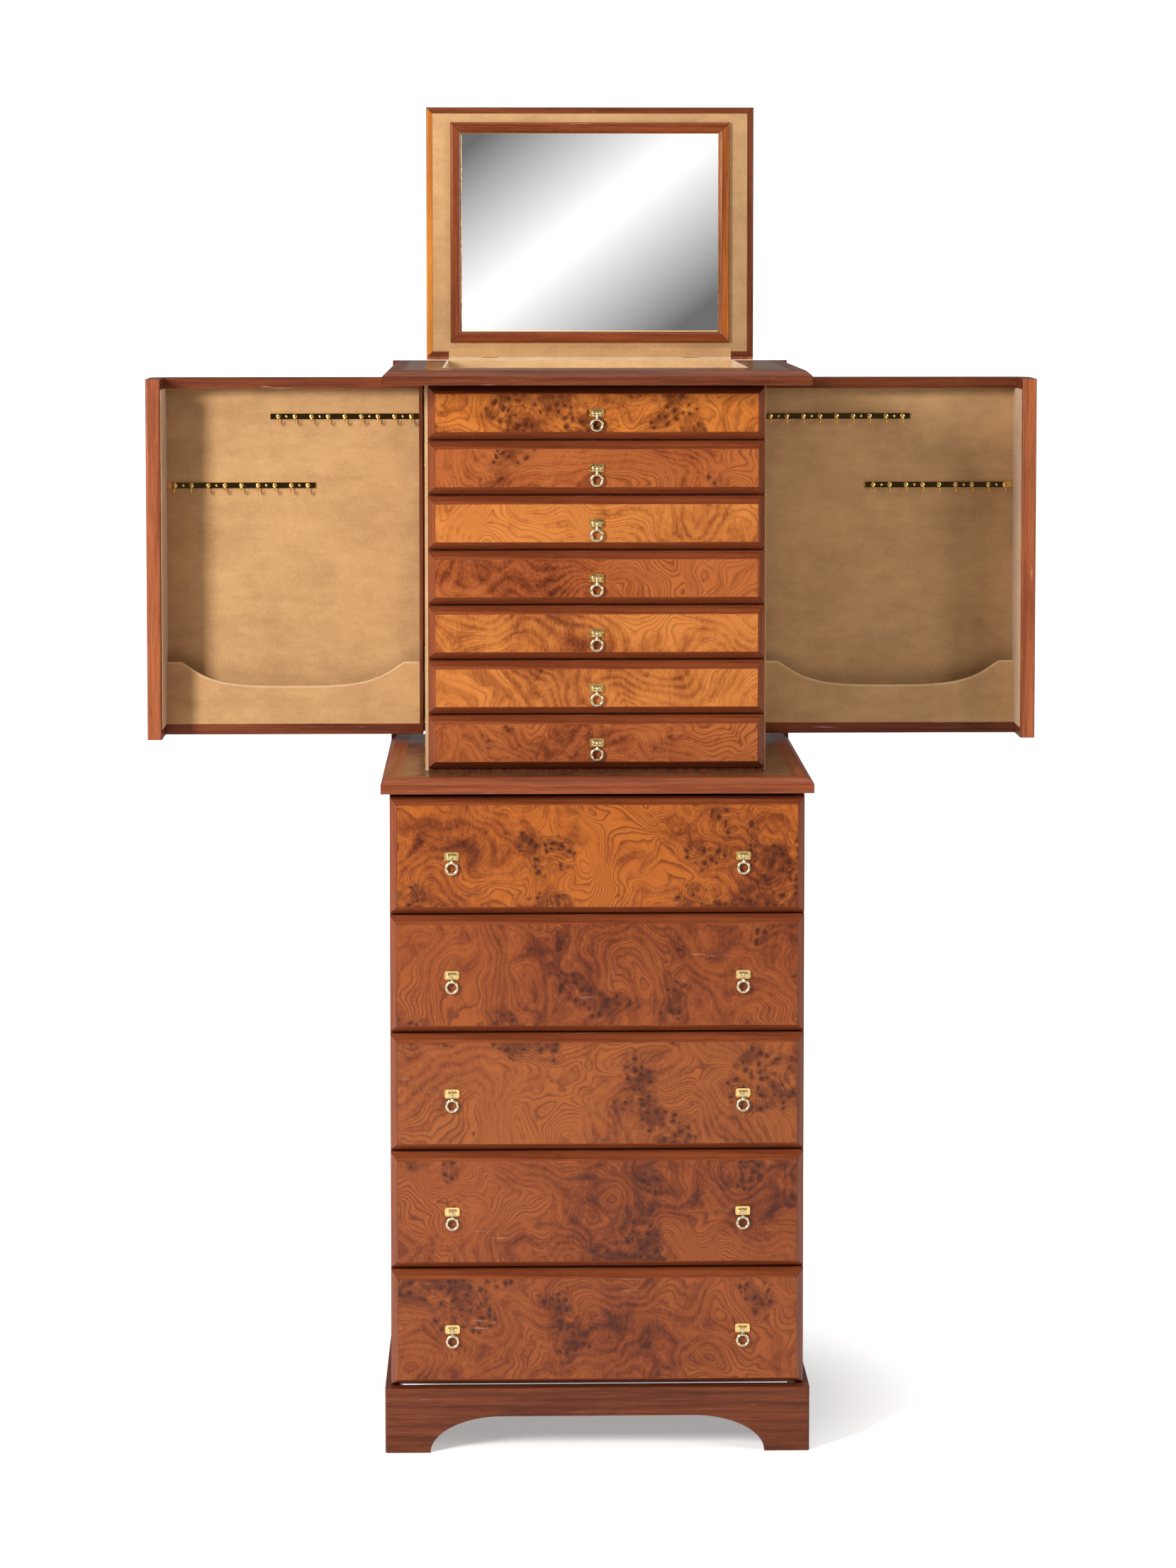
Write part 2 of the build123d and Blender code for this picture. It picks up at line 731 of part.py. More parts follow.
def make_nodes():
    """Every node's name and its list of solids."""
    nodes = {
        "plinth": make_plinth(),
        "lower_case": make_lower_case(),
        "lower_top": make_lower_top(),
        "upper_case": make_upper_case(),
        "upper_top": make_upper_top(),
        "well_lining": make_well_lining(),
        "back_panels": make_back_panels(),
        "lid_panel": make_lid_panel(),
        "lid_lining": make_lid_lining(),
        "mirror_frame": make_mirror_frame(),
        "mirror_glass": make_mirror_glass(),
    }
    lid_fixed, lid_moving = lid_hinge_pieces()
    door_fixed, door_moving = door_hinge_pieces()
    nodes["lid_hinge_leaves"] = lid_moving
    nodes["fixed_hinge_leaves"] = lid_fixed + both_sides(door_fixed)
    right = {
        "door": make_door(),
        "door_lining": make_door_lining(),
        "door_hardware": make_door_hardware() + door_moving,
    }
    for name, pieces in right.items():
        nodes["left_" + name] = [mirror(piece, Plane.YZ) for piece in pieces]
        nodes["right_" + name] = pieces
    add_upper_drawers(nodes)
    add_lower_drawers(nodes)
    return nodes


nodes = make_nodes()
whole = Compound(children=[Compound(children=[s for p in n for s in p.solids()]) for n in nodes.values()])
box = whole.bounding_box()
origin_shift = -(box.min.Y + box.max.Y) / 2

os.makedirs("parts", exist_ok=True)
for name, pieces in nodes.items():
    solids = [solid.moved(Pos(0, origin_shift, 0)) for piece in pieces for solid in piece.solids()]
    export_step(Compound(children=solids), f"parts/{name}.step")
    print(name, len(solids), "solids")
print("origin shift", round(origin_shift, 3), "size", box.size)
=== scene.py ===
# %% [markdown]
# # A jewelry armoire in burl veneer, mahogany and suede
# The joiner's model holds the sizes and the joints. Everything here is laid over it: the mitred
# bevels, the figured veneer, the suede, the brass and the glass. The model is loaded first, so
# that every later size can be read from it and nothing needs fitting afterwards.

# %% Load the frame
import math
import bpy
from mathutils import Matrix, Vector


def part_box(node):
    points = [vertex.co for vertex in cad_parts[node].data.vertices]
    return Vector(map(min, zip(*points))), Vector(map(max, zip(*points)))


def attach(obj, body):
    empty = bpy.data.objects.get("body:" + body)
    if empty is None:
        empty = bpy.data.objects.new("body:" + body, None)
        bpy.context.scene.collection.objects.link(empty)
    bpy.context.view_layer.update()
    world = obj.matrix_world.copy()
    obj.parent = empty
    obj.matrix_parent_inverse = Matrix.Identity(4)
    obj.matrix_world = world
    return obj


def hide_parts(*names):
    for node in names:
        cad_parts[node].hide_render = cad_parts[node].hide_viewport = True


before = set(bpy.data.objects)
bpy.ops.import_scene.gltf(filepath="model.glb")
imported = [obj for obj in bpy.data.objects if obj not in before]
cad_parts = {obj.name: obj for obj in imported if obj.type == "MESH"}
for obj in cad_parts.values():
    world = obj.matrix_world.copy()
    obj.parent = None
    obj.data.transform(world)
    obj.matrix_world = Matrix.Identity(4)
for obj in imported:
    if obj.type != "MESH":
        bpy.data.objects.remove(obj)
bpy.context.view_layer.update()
MM = 0.001

# %% [markdown]
# ## Node trees
# The light of the room, the floor and every finish are small node trees, so a short way to add
# and join nodes comes first.

# %% A short way to write node trees
class Sheet:
    """A node tree with short calls for adding and joining nodes."""

    def __init__(self, tree):
        self.tree = tree

    def node(self, kind, **settings):
        made = self.tree.nodes.new("ShaderNode" + kind)
        for key, value in settings.items():
            setattr(made, key, value)
        return made

    def put(self, socket, value):
        if isinstance(value, bpy.types.NodeSocket):
            self.tree.links.new(value, socket)
        elif value is not None:
            socket.default_value = value

    def maths(self, operation, *values, clamp=False):
        made = self.node("Math", operation=operation, use_clamp=clamp)
        for socket, value in zip(made.inputs, values):
            self.put(socket, value)
        return made.outputs[0]

    def vector(self, operation, *values):
        made = self.node("VectorMath", operation=operation)
        for socket, value in zip(made.inputs, values):
            self.put(socket, value)
        return made.outputs[0]

    def split(self, vector):
        made = self.node("SeparateXYZ")
        self.put(made.inputs[0], vector)
        return made.outputs

    def plus(self, first, second):
        return self.maths("ADD", first, second)

    def minus(self, first, second):
        return self.maths("SUBTRACT", first, second)

    def times(self, first, second):
        return self.maths("MULTIPLY", first, second)

    def noise(self, vector, scale, detail=3.0, rough=0.55, output="Fac"):
        made = self.node("TexNoise")
        self.put(made.inputs["Vector"], vector)
        for key, value in (("Scale", scale), ("Detail", detail), ("Roughness", rough)):
            self.put(made.inputs[key], value)
        return made.outputs[output]

    def stretch(self, vector, scale):
        made = self.node("Mapping")
        self.put(made.inputs["Vector"], vector)
        self.put(made.inputs["Scale"], scale)
        return made.outputs[0]

    def ramp(self, value, low, high, to_low=0.0, to_high=1.0):
        made = self.node("MapRange", interpolation_type="SMOOTHSTEP")
        for socket, item in zip(made.inputs, (value, low, high, to_low, to_high)):
            self.put(socket, item)
        return made.outputs[0]

    def mix(self, factor, first, second, blend="MIX"):
        made = self.node("Mix", data_type="RGBA", blend_type=blend)
        self.put(made.inputs[0], factor)
        self.put(made.inputs[6], first)
        self.put(made.inputs[7], second)
        return made.outputs[2]

    def group(self, tree, **inputs):
        made = self.node("Group", node_tree=tree)
        for key, value in inputs.items():
            self.put(made.inputs[key.replace("_", " ")], value)
        return made.outputs


def where(sheet, kind="Object"):
    """The place of a point: the object's own metres, or the unwrapped run along a bar."""
    return sheet.node("TexCoord").outputs[kind]


print("node tree helper ready")

# %% [markdown]
# ## Camera, light and floor
# The armoire is seen from a little left of its middle and from above its top. A long lens and a
# lens shift keep the uprights nearly upright. Two wide soft lamps stand left and right, and a
# pale world fills the rest, as in a tent of white cloth. Tall cards that only reflections see
# give the mirror and the lacquer something to show.

# %% Camera
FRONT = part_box("lower_top")[0][1]
camera_data = bpy.data.cameras.new("camera")
camera_data.lens = 86.09
camera_data.shift_y = -0.2
camera_data.clip_end = 60
camera = bpy.data.objects.new("camera", camera_data)
camera.location = (-0.0930, FRONT - 3.9185, 1.2763)
camera.rotation_euler = (math.radians(90 - 3.37), 0, math.radians(-1.21))
bpy.context.collection.objects.link(camera)
bpy.context.scene.camera = camera
bpy.context.scene.view_settings.view_transform = "Standard"
bpy.context.scene.view_settings.look = "None"
print("camera at", tuple(round(v, 3) for v in camera.location))


# %% Lamps and world
def lamp(name, place, aim, size, power):
    """A rectangular soft lamp at place that shines at aim."""
    data = bpy.data.lights.new(name, "AREA")
    data.shape = "RECTANGLE"
    data.size, data.size_y = size
    data.energy = power
    thing = bpy.data.objects.new(name, data)
    thing.location = place
    thing.rotation_euler = (Vector(aim) - Vector(place)).to_track_quat("-Z", "Y").to_euler()
    bpy.context.collection.objects.link(thing)


lamp("left_soft", (-2.2, FRONT - 2.1, 1.95), (0, 0, 0.85), (0.55, 1.1), 128)
lamp("right_soft", (2.7, FRONT - 1.6, 1.7), (0, 0, 0.8), (0.6, 1.2), 31)
lamp("top_soft", (0.2, -0.4, 3.4), (0, 0, 0.6), (2.4, 2.0), 30)
world = bpy.data.worlds.new("tent")
bpy.context.scene.world = world
world.use_nodes = True
tent = Sheet(world.node_tree)
to_camera = tent.node("LightPath").outputs["Is Camera Ray"]
background = world.node_tree.nodes["Background"].inputs
tent.put(background["Strength"], tent.maths("MULTIPLY_ADD", to_camera, 1.15 - 0.21, 0.21))
tent.put(background["Color"], (1, 1, 1, 1))
print("lamps", len(bpy.data.lights))


# %% Small helpers for meshes
def corners_of(node):
    """The low and high corners of a joiner's piece."""
    return [Vector(corner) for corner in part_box(node)]


def front_of(node):
    """Both corners, the centre of its back face and its half sides, seen from the front."""
    low, high = corners_of(node)
    centre = ((low.x + high.x) / 2, high.y, (low.z + high.z) / 2)
    return low, high, centre, ((high.x - low.x) / 2, (high.z - low.z) / 2)


def new_object(name, verts, faces, materials, slots=None, uvs=None, joint=None):
    """A mesh object at the origin from points in metres, with a material slot for each face."""
    mesh = bpy.data.meshes.new(name)
    mesh.from_pydata([tuple(v) for v in verts], [], faces)
    for material in materials:
        mesh.materials.append(material)
    if slots:
        mesh.polygons.foreach_set("material_index", slots)
    if uvs:
        layer = mesh.uv_layers.new(name="along")
        layer.data.foreach_set("uv", [c for face in uvs for uv in face for c in uv])
    if joint:
        mesh.attributes.new("mitre", "FLOAT", "POINT").data.foreach_set("value", joint)
    thing = bpy.data.objects.new(name, mesh)
    bpy.context.collection.objects.link(thing)
    return thing


def soften(thing, width, segments=2, angle=25):
    """Welds a mesh and rounds its sharp edges a little."""
    weld = thing.modifiers.new("weld", "WELD")
    weld.merge_threshold = 0.00002
    bevel = thing.modifiers.new("bevel", "BEVEL")
    bevel.width = width
    bevel.segments = segments
    bevel.limit_method = "ANGLE"
    bevel.angle_limit = math.radians(angle)
    bevel.harden_normals = True
    return thing


def freeze(thing):
    """Applies the modifiers, so that what is left is a plain mesh."""
    graph = bpy.context.evaluated_depsgraph_get()
    mesh = bpy.data.meshes.new_from_object(thing.evaluated_get(graph))
    thing.modifiers.clear()
    thing.data = mesh
    return thing


def mirrored(sign, near, far):
    """Two distances from the middle, in millimetres, as low and high X on one side."""
    return sorted((sign * near * MM, sign * far * MM))


def merged(name, things):
    """One object that holds the meshes of several, with every material kept."""
    with bpy.context.temp_override(
        active_object=things[0], selected_editable_objects=things, selected_objects=things
    ):
        bpy.ops.object.join()
    things[0].name = name
    return things[0]


# %% Floor and reflection cards
def flat_paint(name, colour, roughness, glow=0.0):
    """A plain surface for the room."""
    material = bpy.data.materials.new(name)
    material.use_nodes = True
    shader = material.node_tree.nodes["Principled BSDF"]
    shader.inputs["Base Color"].default_value = (*colour, 1)
    shader.inputs["Roughness"].default_value = roughness
    shader.inputs["Emission Color"].default_value = (*colour, 1)
    shader.inputs["Emission Strength"].default_value = glow
    return material


def card(name, centre, half_u, half_v, material):
    """A flat card from its centre and two half-side vectors, unseen by the camera."""
    c, u, v = Vector(centre), Vector(half_u), Vector(half_v)
    thing = new_object(name, [c - u - v, c + u - v, c + u + v, c - u + v], [(0, 1, 2, 3)], [material])
    thing.visible_camera = False
    thing.visible_diffuse = False
    thing.visible_shadow = False
    return thing


floor_paint = flat_paint("floor_paint", (0.95, 0.95, 0.955), 0.7, 0.40)
paint = Sheet(floor_paint.node_tree)
# The floor's glow, seen by the camera only, is 0.24 within 0.25 m of the middle under the armoire and rises
# to 1.1 by 0.62 m: a painted shadow round its foot. Every ray also sees a glow of 0.12.
reach = paint.node("VectorMath", operation="LENGTH")
paint.put(reach.inputs[0], where(paint))
painted_shadow_fade = paint.node("MapRange")
for socket, value in zip(painted_shadow_fade.inputs, (reach.outputs["Value"], 0.25, 0.62, 0.24, 1.1)):
    paint.put(socket, value)
to_camera = paint.node("LightPath").outputs["Is Camera Ray"]
floor_glow = floor_paint.node_tree.nodes["Principled BSDF"].inputs["Emission Strength"]
paint.put(floor_glow, paint.maths("MULTIPLY_ADD", painted_shadow_fade.outputs[0], to_camera, 0.12))
far = 14.0
corners = [(-far, -far, 0), (far, -far, 0), (far, far, 0), (-far, far, 0)]
floor = new_object("floor", corners, [(0, 1, 2, 3)], [floor_paint])
night = flat_paint("card_night", (0.02, 0.018, 0.016), 1.0, 0.6)
card("card_night_low", (0.1, -5.5, 0.44), (2.4, 0, 0), (0, 0, 0.54), night)

# %% A card whose light falls off on both sides of its diagonal, for the mirror to show
CARD_AT, CARD_HALF = (0.105, -5.5, 1.33), (0.42, 0.33)
glow = bpy.data.materials.new("card_diagonal")
glow.use_nodes = True
glow.node_tree.nodes.remove(glow.node_tree.nodes["Principled BSDF"])
paint = Sheet(glow.node_tree)
across, up, _ = paint.split(where(paint, "UV"))
away = paint.maths("ABSOLUTE", paint.minus(across, up))
fall = paint.maths("MULTIPLY", paint.minus(away, 0.05), 1.55, clamp=True)
light = paint.node("Emission")
strength = paint.minus(1.12, paint.times(paint.maths("POWER", fall, 0.85), 0.96))
paint.put(light.inputs["Strength"], strength)
paint.put(glow.node_tree.nodes["Material Output"].inputs["Surface"], light.outputs[0])
diagonal = card("card_mirror", CARD_AT, (CARD_HALF[0], 0, 0), (0, 0, CARD_HALF[1]), glow)
layer = diagonal.data.uv_layers.new(name="card")
layer.data.foreach_set("uv", (0, 0, 1, 0, 1, 1, 0, 1))
print("stage set")

# %% [markdown]
# ## Finishes
# Each finish is a small node tree. The effects that several finishes share are node groups with
# named inputs: straight grain, burl figure, nap and scuffs. A group only gives out values and
# colours; the shader stays in the material. The pale and dark streaks of straight grain are one
# noise stretched far along the board, and the pores are a much finer one.

# %% Make a node group
def new_group(name, inputs, outputs):
    """A node group with named sockets; gives its sheet, its input node and a way to set outputs."""
    tree = bpy.data.node_groups.new(name, "ShaderNodeTree")
    kinds = {"v": "NodeSocketVector", "c": "NodeSocketColor", "f": "NodeSocketFloat"}
    for label, kind, value in inputs:
        socket = tree.interface.new_socket(label, in_out="INPUT", socket_type=kinds[kind])
        if value is not None:
            socket.default_value = value
    for label, kind in outputs:
        tree.interface.new_socket(label, in_out="OUTPUT", socket_type=kinds[kind])
    sheet = Sheet(tree)
    return sheet, tree.nodes.new("NodeGroupInput").outputs, tree.nodes.new("NodeGroupOutput").inputs


# %% Group: straight grain
s, given, out = new_group(
    "straight_grain",
    [("Vector", "v", None), ("Light", "c", (0.4, 0.16, 0.08, 1)), ("Dark", "c", (0.12, 0.03, 0.02, 1)),
     ("Pores", "f", 0.5)],
    [("Color", "c"), ("Height", "f")],
)
broad = s.noise(s.stretch(given["Vector"], (5, 150, 150)), 1.0, 4.0, 0.6)
fine = s.noise(s.stretch(given["Vector"], (30, 900, 900)), 1.0, 3.0, 0.6)
pores = s.ramp(s.noise(s.stretch(given["Vector"], (60, 1900, 1900)), 1.0, 2.0), 0.56, 0.68)
tone = s.plus(s.times(broad, 0.75), s.times(fine, 0.35))
colour = s.mix(s.ramp(tone, 0.36, 0.74), given["Dark"], given["Light"])
pored = s.times(pores, given["Pores"])
s.put(out["Color"], s.mix(s.times(pored, 0.7), colour, s.mix(0.75, given["Dark"], (0, 0, 0, 1))))
s.put(out["Height"], s.minus(s.times(fine, 0.4), pored))
STRAIGHT = s.tree

# %% [markdown]
# The burl figure starts from contour lines: a slow noise is warped by another, and its value,
# multiplied many times over and wrapped, gives growth lines that swirl. Round eyes come from
# Voronoi cells, kept only where a cluster mask allows them, and the lines bend around them.

# %% Group: burl figure
s, given, out = new_group(
    "burl_figure",
    [("Vector", "v", None), ("Seed", "f", 0.0), ("Swirl", "f", 0.5), ("Lines", "f", 10.0),
     ("Line Depth", "f", 0.5), ("Eyes", "f", 0.5), ("Light", "c", None), ("Middle", "c", None),
     ("Dark", "c", None)],
    [("Color", "c"), ("Height", "f"), ("Gloss", "f")],
)
shift, flat = s.node("CombineXYZ"), s.node("CombineXYZ")
for socket, share in zip(shift.inputs, (3.17, 1.71, 2.39)):
    s.put(socket, s.times(given["Seed"], share))
base = s.vector("ADD", given["Vector"], shift.outputs[0])
drift = s.vector("SUBTRACT", s.noise(base, 9.0, 2.0, 0.5, "Color"), (0.5, 0.5, 0.5))
warped = s.vector("MULTIPLY_ADD", drift, s.times(given["Swirl"], 0.16), base)
spread = s.split(warped)
ragged = s.noise(base, 130.0, 2.0, 0.5, "Color")
x, y, z = s.split(s.vector("MULTIPLY_ADD", ragged, (0.006, 0.006, 0.006), base))
s.put(flat.inputs[0], s.maths("MULTIPLY_ADD", y, 0.83, x))
s.put(flat.inputs[1], s.maths("MULTIPLY_ADD", y, 0.61, z))
cells = s.node("TexVoronoi", voronoi_dimensions="2D")
s.put(cells.inputs["Vector"], flat.outputs[0])
s.put(cells.inputs["Scale"], 120.0)
near = cells.outputs["Distance"]
chosen = s.node("SeparateColor")
s.put(chosen.inputs[0], cells.outputs["Color"])
size = s.ramp(chosen.outputs[0], 0.15, 0.9, 0.0, 1.0)
cluster_low = s.ramp(given["Eyes"], 0, 1, 0.70, 0.47)
cluster_high = s.ramp(given["Eyes"], 0, 1, 0.82, 0.58)
cluster = s.ramp(s.noise(base, 12.0, 2.0), cluster_low, cluster_high)
height_map = s.noise(s.stretch(warped, (1.3, 1.3, 1.1)), 6.0, 1.0, 0.4)
swirls = s.noise(warped, 19.0, 2.0, 0.45)
rise = s.plus(height_map, s.times(s.times(swirls, 0.16), given["Swirl"]))
rise = s.plus(rise, s.times(cluster, 0.06))
rise = s.plus(rise, s.times(s.noise(warped, 70.0, 3.0), 0.012))
slope = s.maths("MULTIPLY_ADD", spread[0], 0.5, spread[2])
rise = s.maths("MULTIPLY_ADD", slope, 1.3, rise)
phase = s.maths("FRACT", s.times(rise, s.times(given["Lines"], 0.8)))
lines = s.times(s.ramp(phase, 0.42, 0.90), s.ramp(phase, 1.0, 0.86))
wide = s.maths("FRACT", s.times(rise, s.times(given["Lines"], 0.23)))
bands = s.ramp(s.maths("ABSOLUTE", s.minus(wide, 0.5)), 0.05, 0.5)
present = s.ramp(s.noise(warped, 13.0, 3.0), 0.36, 0.62, 0.22, 1.0)
fibre = s.noise(s.stretch(warped, (520, 520, 90)), 1.0, 3.0, 0.6)
mottle = s.noise(warped, 34.0, 6.0, 0.68)
slow = s.noise(warped, 6.5, 2.0)
tone = s.plus(s.times(mottle, 0.50), s.times(slow, 0.62))
tone = s.plus(tone, s.times(s.minus(fibre, 0.5), 0.30))
tone = s.minus(tone, s.times(bands, 0.09))
colour = s.mix(s.ramp(tone, 0.38, 0.62), given["Middle"], given["Light"])
colour = s.mix(s.ramp(tone, 0.47, 0.26), colour, given["Dark"])
depth = s.times(s.times(lines, present), given["Line Depth"])
colour = s.mix(depth, colour, s.mix(0.65, given["Middle"], given["Dark"]))
colour = s.mix(s.times(cluster, s.ramp(mottle, 0.60, 0.40, 0.0, 0.65)), colour, given["Dark"])
spot = s.ramp(near, s.maths("MULTIPLY_ADD", size, 0.34, 0.10), s.maths("MULTIPLY_ADD", size, 0.12, 0.02))
spot = s.times(s.times(spot, s.ramp(cluster, 0.15, 0.5)), s.ramp(size, 0.1, 0.3))
ring = s.times(s.ramp(near, 0.62, 0.40), s.times(cluster, 0.40))
colour = s.mix(ring, colour, given["Dark"])
eye = s.mix(0.35, given["Dark"], (0.012, 0.004, 0.002, 1))
s.put(out["Color"], s.mix(s.times(spot, 0.85), colour, eye))
s.put(out["Height"], s.minus(s.times(fibre, 0.5), s.plus(lines, spot)))
s.put(out["Gloss"], s.ramp(mottle, 0.3, 0.7, 0.22, 0.32))
BURL = s.tree

# %% Group: scuffs and dust
s, given, out = new_group("scuffs", [("Vector", "v", None), ("Amount", "f", 0.3)], [("Mask", "f")])
streak = s.noise(s.stretch(given["Vector"], (14, 160, 160)), 1.0, 3.0, 0.7)
patch = s.noise(given["Vector"], 9.0, 2.0)
mask = s.times(s.ramp(streak, 0.64, 0.76), s.ramp(patch, 0.48, 0.66))
s.put(out["Mask"], s.times(mask, given["Amount"]))
SCUFFS = s.tree
print("groups", [g.name for g in bpy.data.node_groups])


# %% Start a material
def start(name, roughness=None, **constants):
    """A material with its sheet and shader; the constants are set on the shader's own sockets."""
    material = bpy.data.materials.new(name)
    material.use_nodes = True
    sheet = Sheet(material.node_tree)
    shader = material.node_tree.nodes["Principled BSDF"]
    if roughness is not None:
        shader.inputs["Roughness"].default_value = roughness
    for key, value in constants.items():
        shader.inputs[key.replace("_", " ")].default_value = value
    return material, sheet, shader.inputs


def bump(sheet, height, strength, distance):
    made = sheet.node("Bump")
    sheet.put(made.inputs["Height"], height)
    sheet.put(made.inputs["Strength"], strength)
    sheet.put(made.inputs["Distance"], distance)
    return made.outputs[0]


# %% Mahogany edges, along their own length
def mahogany(name, light, dark, source="UV", axis=None, gloss=0.34, coat=0.06):
    """Lacquered mahogany. Its grain runs along U, or along the named axis of the object."""
    material, sheet, shader = start(name, Coat_Weight=coat, Coat_Roughness=0.12, Specular_IOR_Level=0.18)
    place = where(sheet, source)
    if axis:
        turn = sheet.node("Mapping")
        sheet.put(turn.inputs["Vector"], place)
        quarter = math.radians(90)
        sheet.put(turn.inputs["Rotation"], (0, quarter, 0) if axis == "Z" else (0, 0, quarter))
        place = turn.outputs[0]
    grain = sheet.group(STRAIGHT, Vector=place, Light=light, Dark=dark, Pores=0.6)
    rub = sheet.group(SCUFFS, Vector=place, Amount=0.5)["Mask"]
    colour = sheet.mix(rub, grain["Color"], (0.62, 0.42, 0.33, 1))
    seam = sheet.node("Attribute", attribute_name="mitre")
    line = sheet.ramp(seam.outputs["Fac"], 0.70, 1.0, 1.0, 0.25)
    shade = sheet.node("CombineColor")
    for socket in shade.inputs[:3]:
        sheet.put(socket, line)
    sheet.put(shader["Base Color"], sheet.mix(1.0, colour, shade.outputs[0], "MULTIPLY"))
    sheet.put(shader["Roughness"], sheet.plus(sheet.times(rub, 0.3), gloss))
    sheet.put(shader["Normal"], bump(sheet, grain["Height"], 0.25, 0.0002))
    return material


RED = ((0.190, 0.046, 0.015, 1), (0.075, 0.016, 0.006, 1))
WARM = ((0.300, 0.074, 0.024, 1), (0.140, 0.030, 0.010, 1))
# The third pair is a lighter, more orange copy of the mahogany colours: painted light for the lid's left
# edge, which faces the left lamp.
PAINTED_LIT_PAIR = ((0.62, 0.225, 0.030, 1), (0.36, 0.100, 0.014, 1))
EDGE = mahogany("mahogany_edge", *RED)
EDGE_WARM = mahogany("mahogany_front", *WARM)
EDGE_PAINTED_LIT = mahogany("mahogany_bright", *PAINTED_LIT_PAIR)
BOARD_X = mahogany("mahogany_board", *RED, source="Object")
BOARD_Y = mahogany("mahogany_side", *RED, source="Object", axis="Y")
BOARD_Z = mahogany("mahogany_upright", *RED, source="Object", axis="Z")


# %% Burl veneers
def veneer(name, look):
    """Lacquered burl veneer. look is a row like those of the tables below."""
    seed, (light, middle, dark), swirl, lines, line_depth, eyes = look
    material, sheet, shader = start(name, Coat_Weight=0.10, Coat_Roughness=0.1, Specular_IOR_Level=0.20)
    place = where(sheet)
    figure = sheet.group(
        BURL, Vector=place, Seed=seed, Swirl=swirl, Lines=lines, Line_Depth=line_depth, Eyes=eyes,
        Light=(*light, 1), Middle=(*middle, 1), Dark=(*dark, 1),
    )
    rub = sheet.group(SCUFFS, Vector=place, Amount=0.18)["Mask"]
    sheet.put(shader["Base Color"], sheet.mix(rub, figure["Color"], (0.75, 0.55, 0.40, 1)))
    sheet.put(shader["Roughness"], sheet.plus(figure["Gloss"], sheet.times(rub, 0.3)))
    sheet.put(shader["Normal"], bump(sheet, figure["Height"], 0.12, 0.0002))
    return material


ORANGE = ((0.50, 0.150, 0.024), (0.31, 0.078, 0.014), (0.080, 0.015, 0.005))
GOLDEN = ((0.50, 0.165, 0.034), (0.31, 0.084, 0.018), (0.12, 0.024, 0.008))
RUSSET = ((0.37, 0.100, 0.024), (0.235, 0.052, 0.013), (0.075, 0.014, 0.005))
AMBER = ((0.40, 0.105, 0.015), (0.24, 0.052, 0.009), (0.065, 0.012, 0.004))
AUBURN = ((0.29, 0.070, 0.014), (0.19, 0.038, 0.008), (0.060, 0.011, 0.004))
BROWN = ((0.31, 0.082, 0.017), (0.20, 0.044, 0.010), (0.065, 0.012, 0.005))
UMBER = ((0.19, 0.080, 0.034), (0.12, 0.046, 0.020), (0.050, 0.016, 0.008))
# seed, colours, swirl, lines, depth of the lines, eyes
UPPER_LOOKS = [
    (1.0, ORANGE, 0.9, 60.0, 0.65, 0.75), (2.3, RUSSET, 0.6, 85.0, 0.80, 0.55),
    (3.1, GOLDEN, 0.6, 80.0, 0.65, 0.40), (4.7, RUSSET, 0.8, 90.0, 0.75, 0.50),
    (5.2, GOLDEN, 0.5, 80.0, 0.55, 0.40), (6.9, GOLDEN, 0.5, 100.0, 0.60, 0.35),
    (7.4, RUSSET, 0.7, 90.0, 0.80, 0.50),
]
LOWER_LOOKS = [
    (11.0, AMBER, 0.8, 85.0, 0.85, 1.00), (12.6, AUBURN, 0.7, 95.0, 0.80, 0.65),
    (13.3, BROWN, 0.7, 85.0, 0.80, 0.75), (14.8, AUBURN, 0.9, 90.0, 0.85, 0.65),
    (15.5, AUBURN, 0.7, 92.0, 0.80, 0.60),
]
print("materials", len(bpy.data.materials))

# %% [markdown]
# ## Mitred bars
# Nearly every edge of the armoire is a moulded bar that meets the next one in a mitre: the drawer
# fronts, both tops, the lid and the mirror frame. So one helper carries a profile round a
# rectangle. It unwraps each bar along its length, so that the grain turns with it, and marks how
# far a point is from the mitre, so that the finish can draw the fine dark joint.

# %% Carry a profile round a rectangle
MITRE = 0.0025


def rounded(profile, radius, steps=3):
    """A profile whose inner corners are turned into short curves."""
    result = [profile[0]]
    for before, corner, after in zip(profile, profile[1:], profile[2:]):
        a, c, b = Vector(before), Vector(corner), Vector(after)
        reach_a = min(radius, (a - c).length * 0.45)
        reach_b = min(radius, (b - c).length * 0.45)
        first = c + (a - c).normalized() * reach_a
        last = c + (b - c).normalized() * reach_b
        for i in range(steps + 1):
            t = i / steps
            result.append(tuple((1 - t) ** 2 * first + 2 * t * (1 - t) * c + t * t * last))
    result.append(profile[-1])
    return result


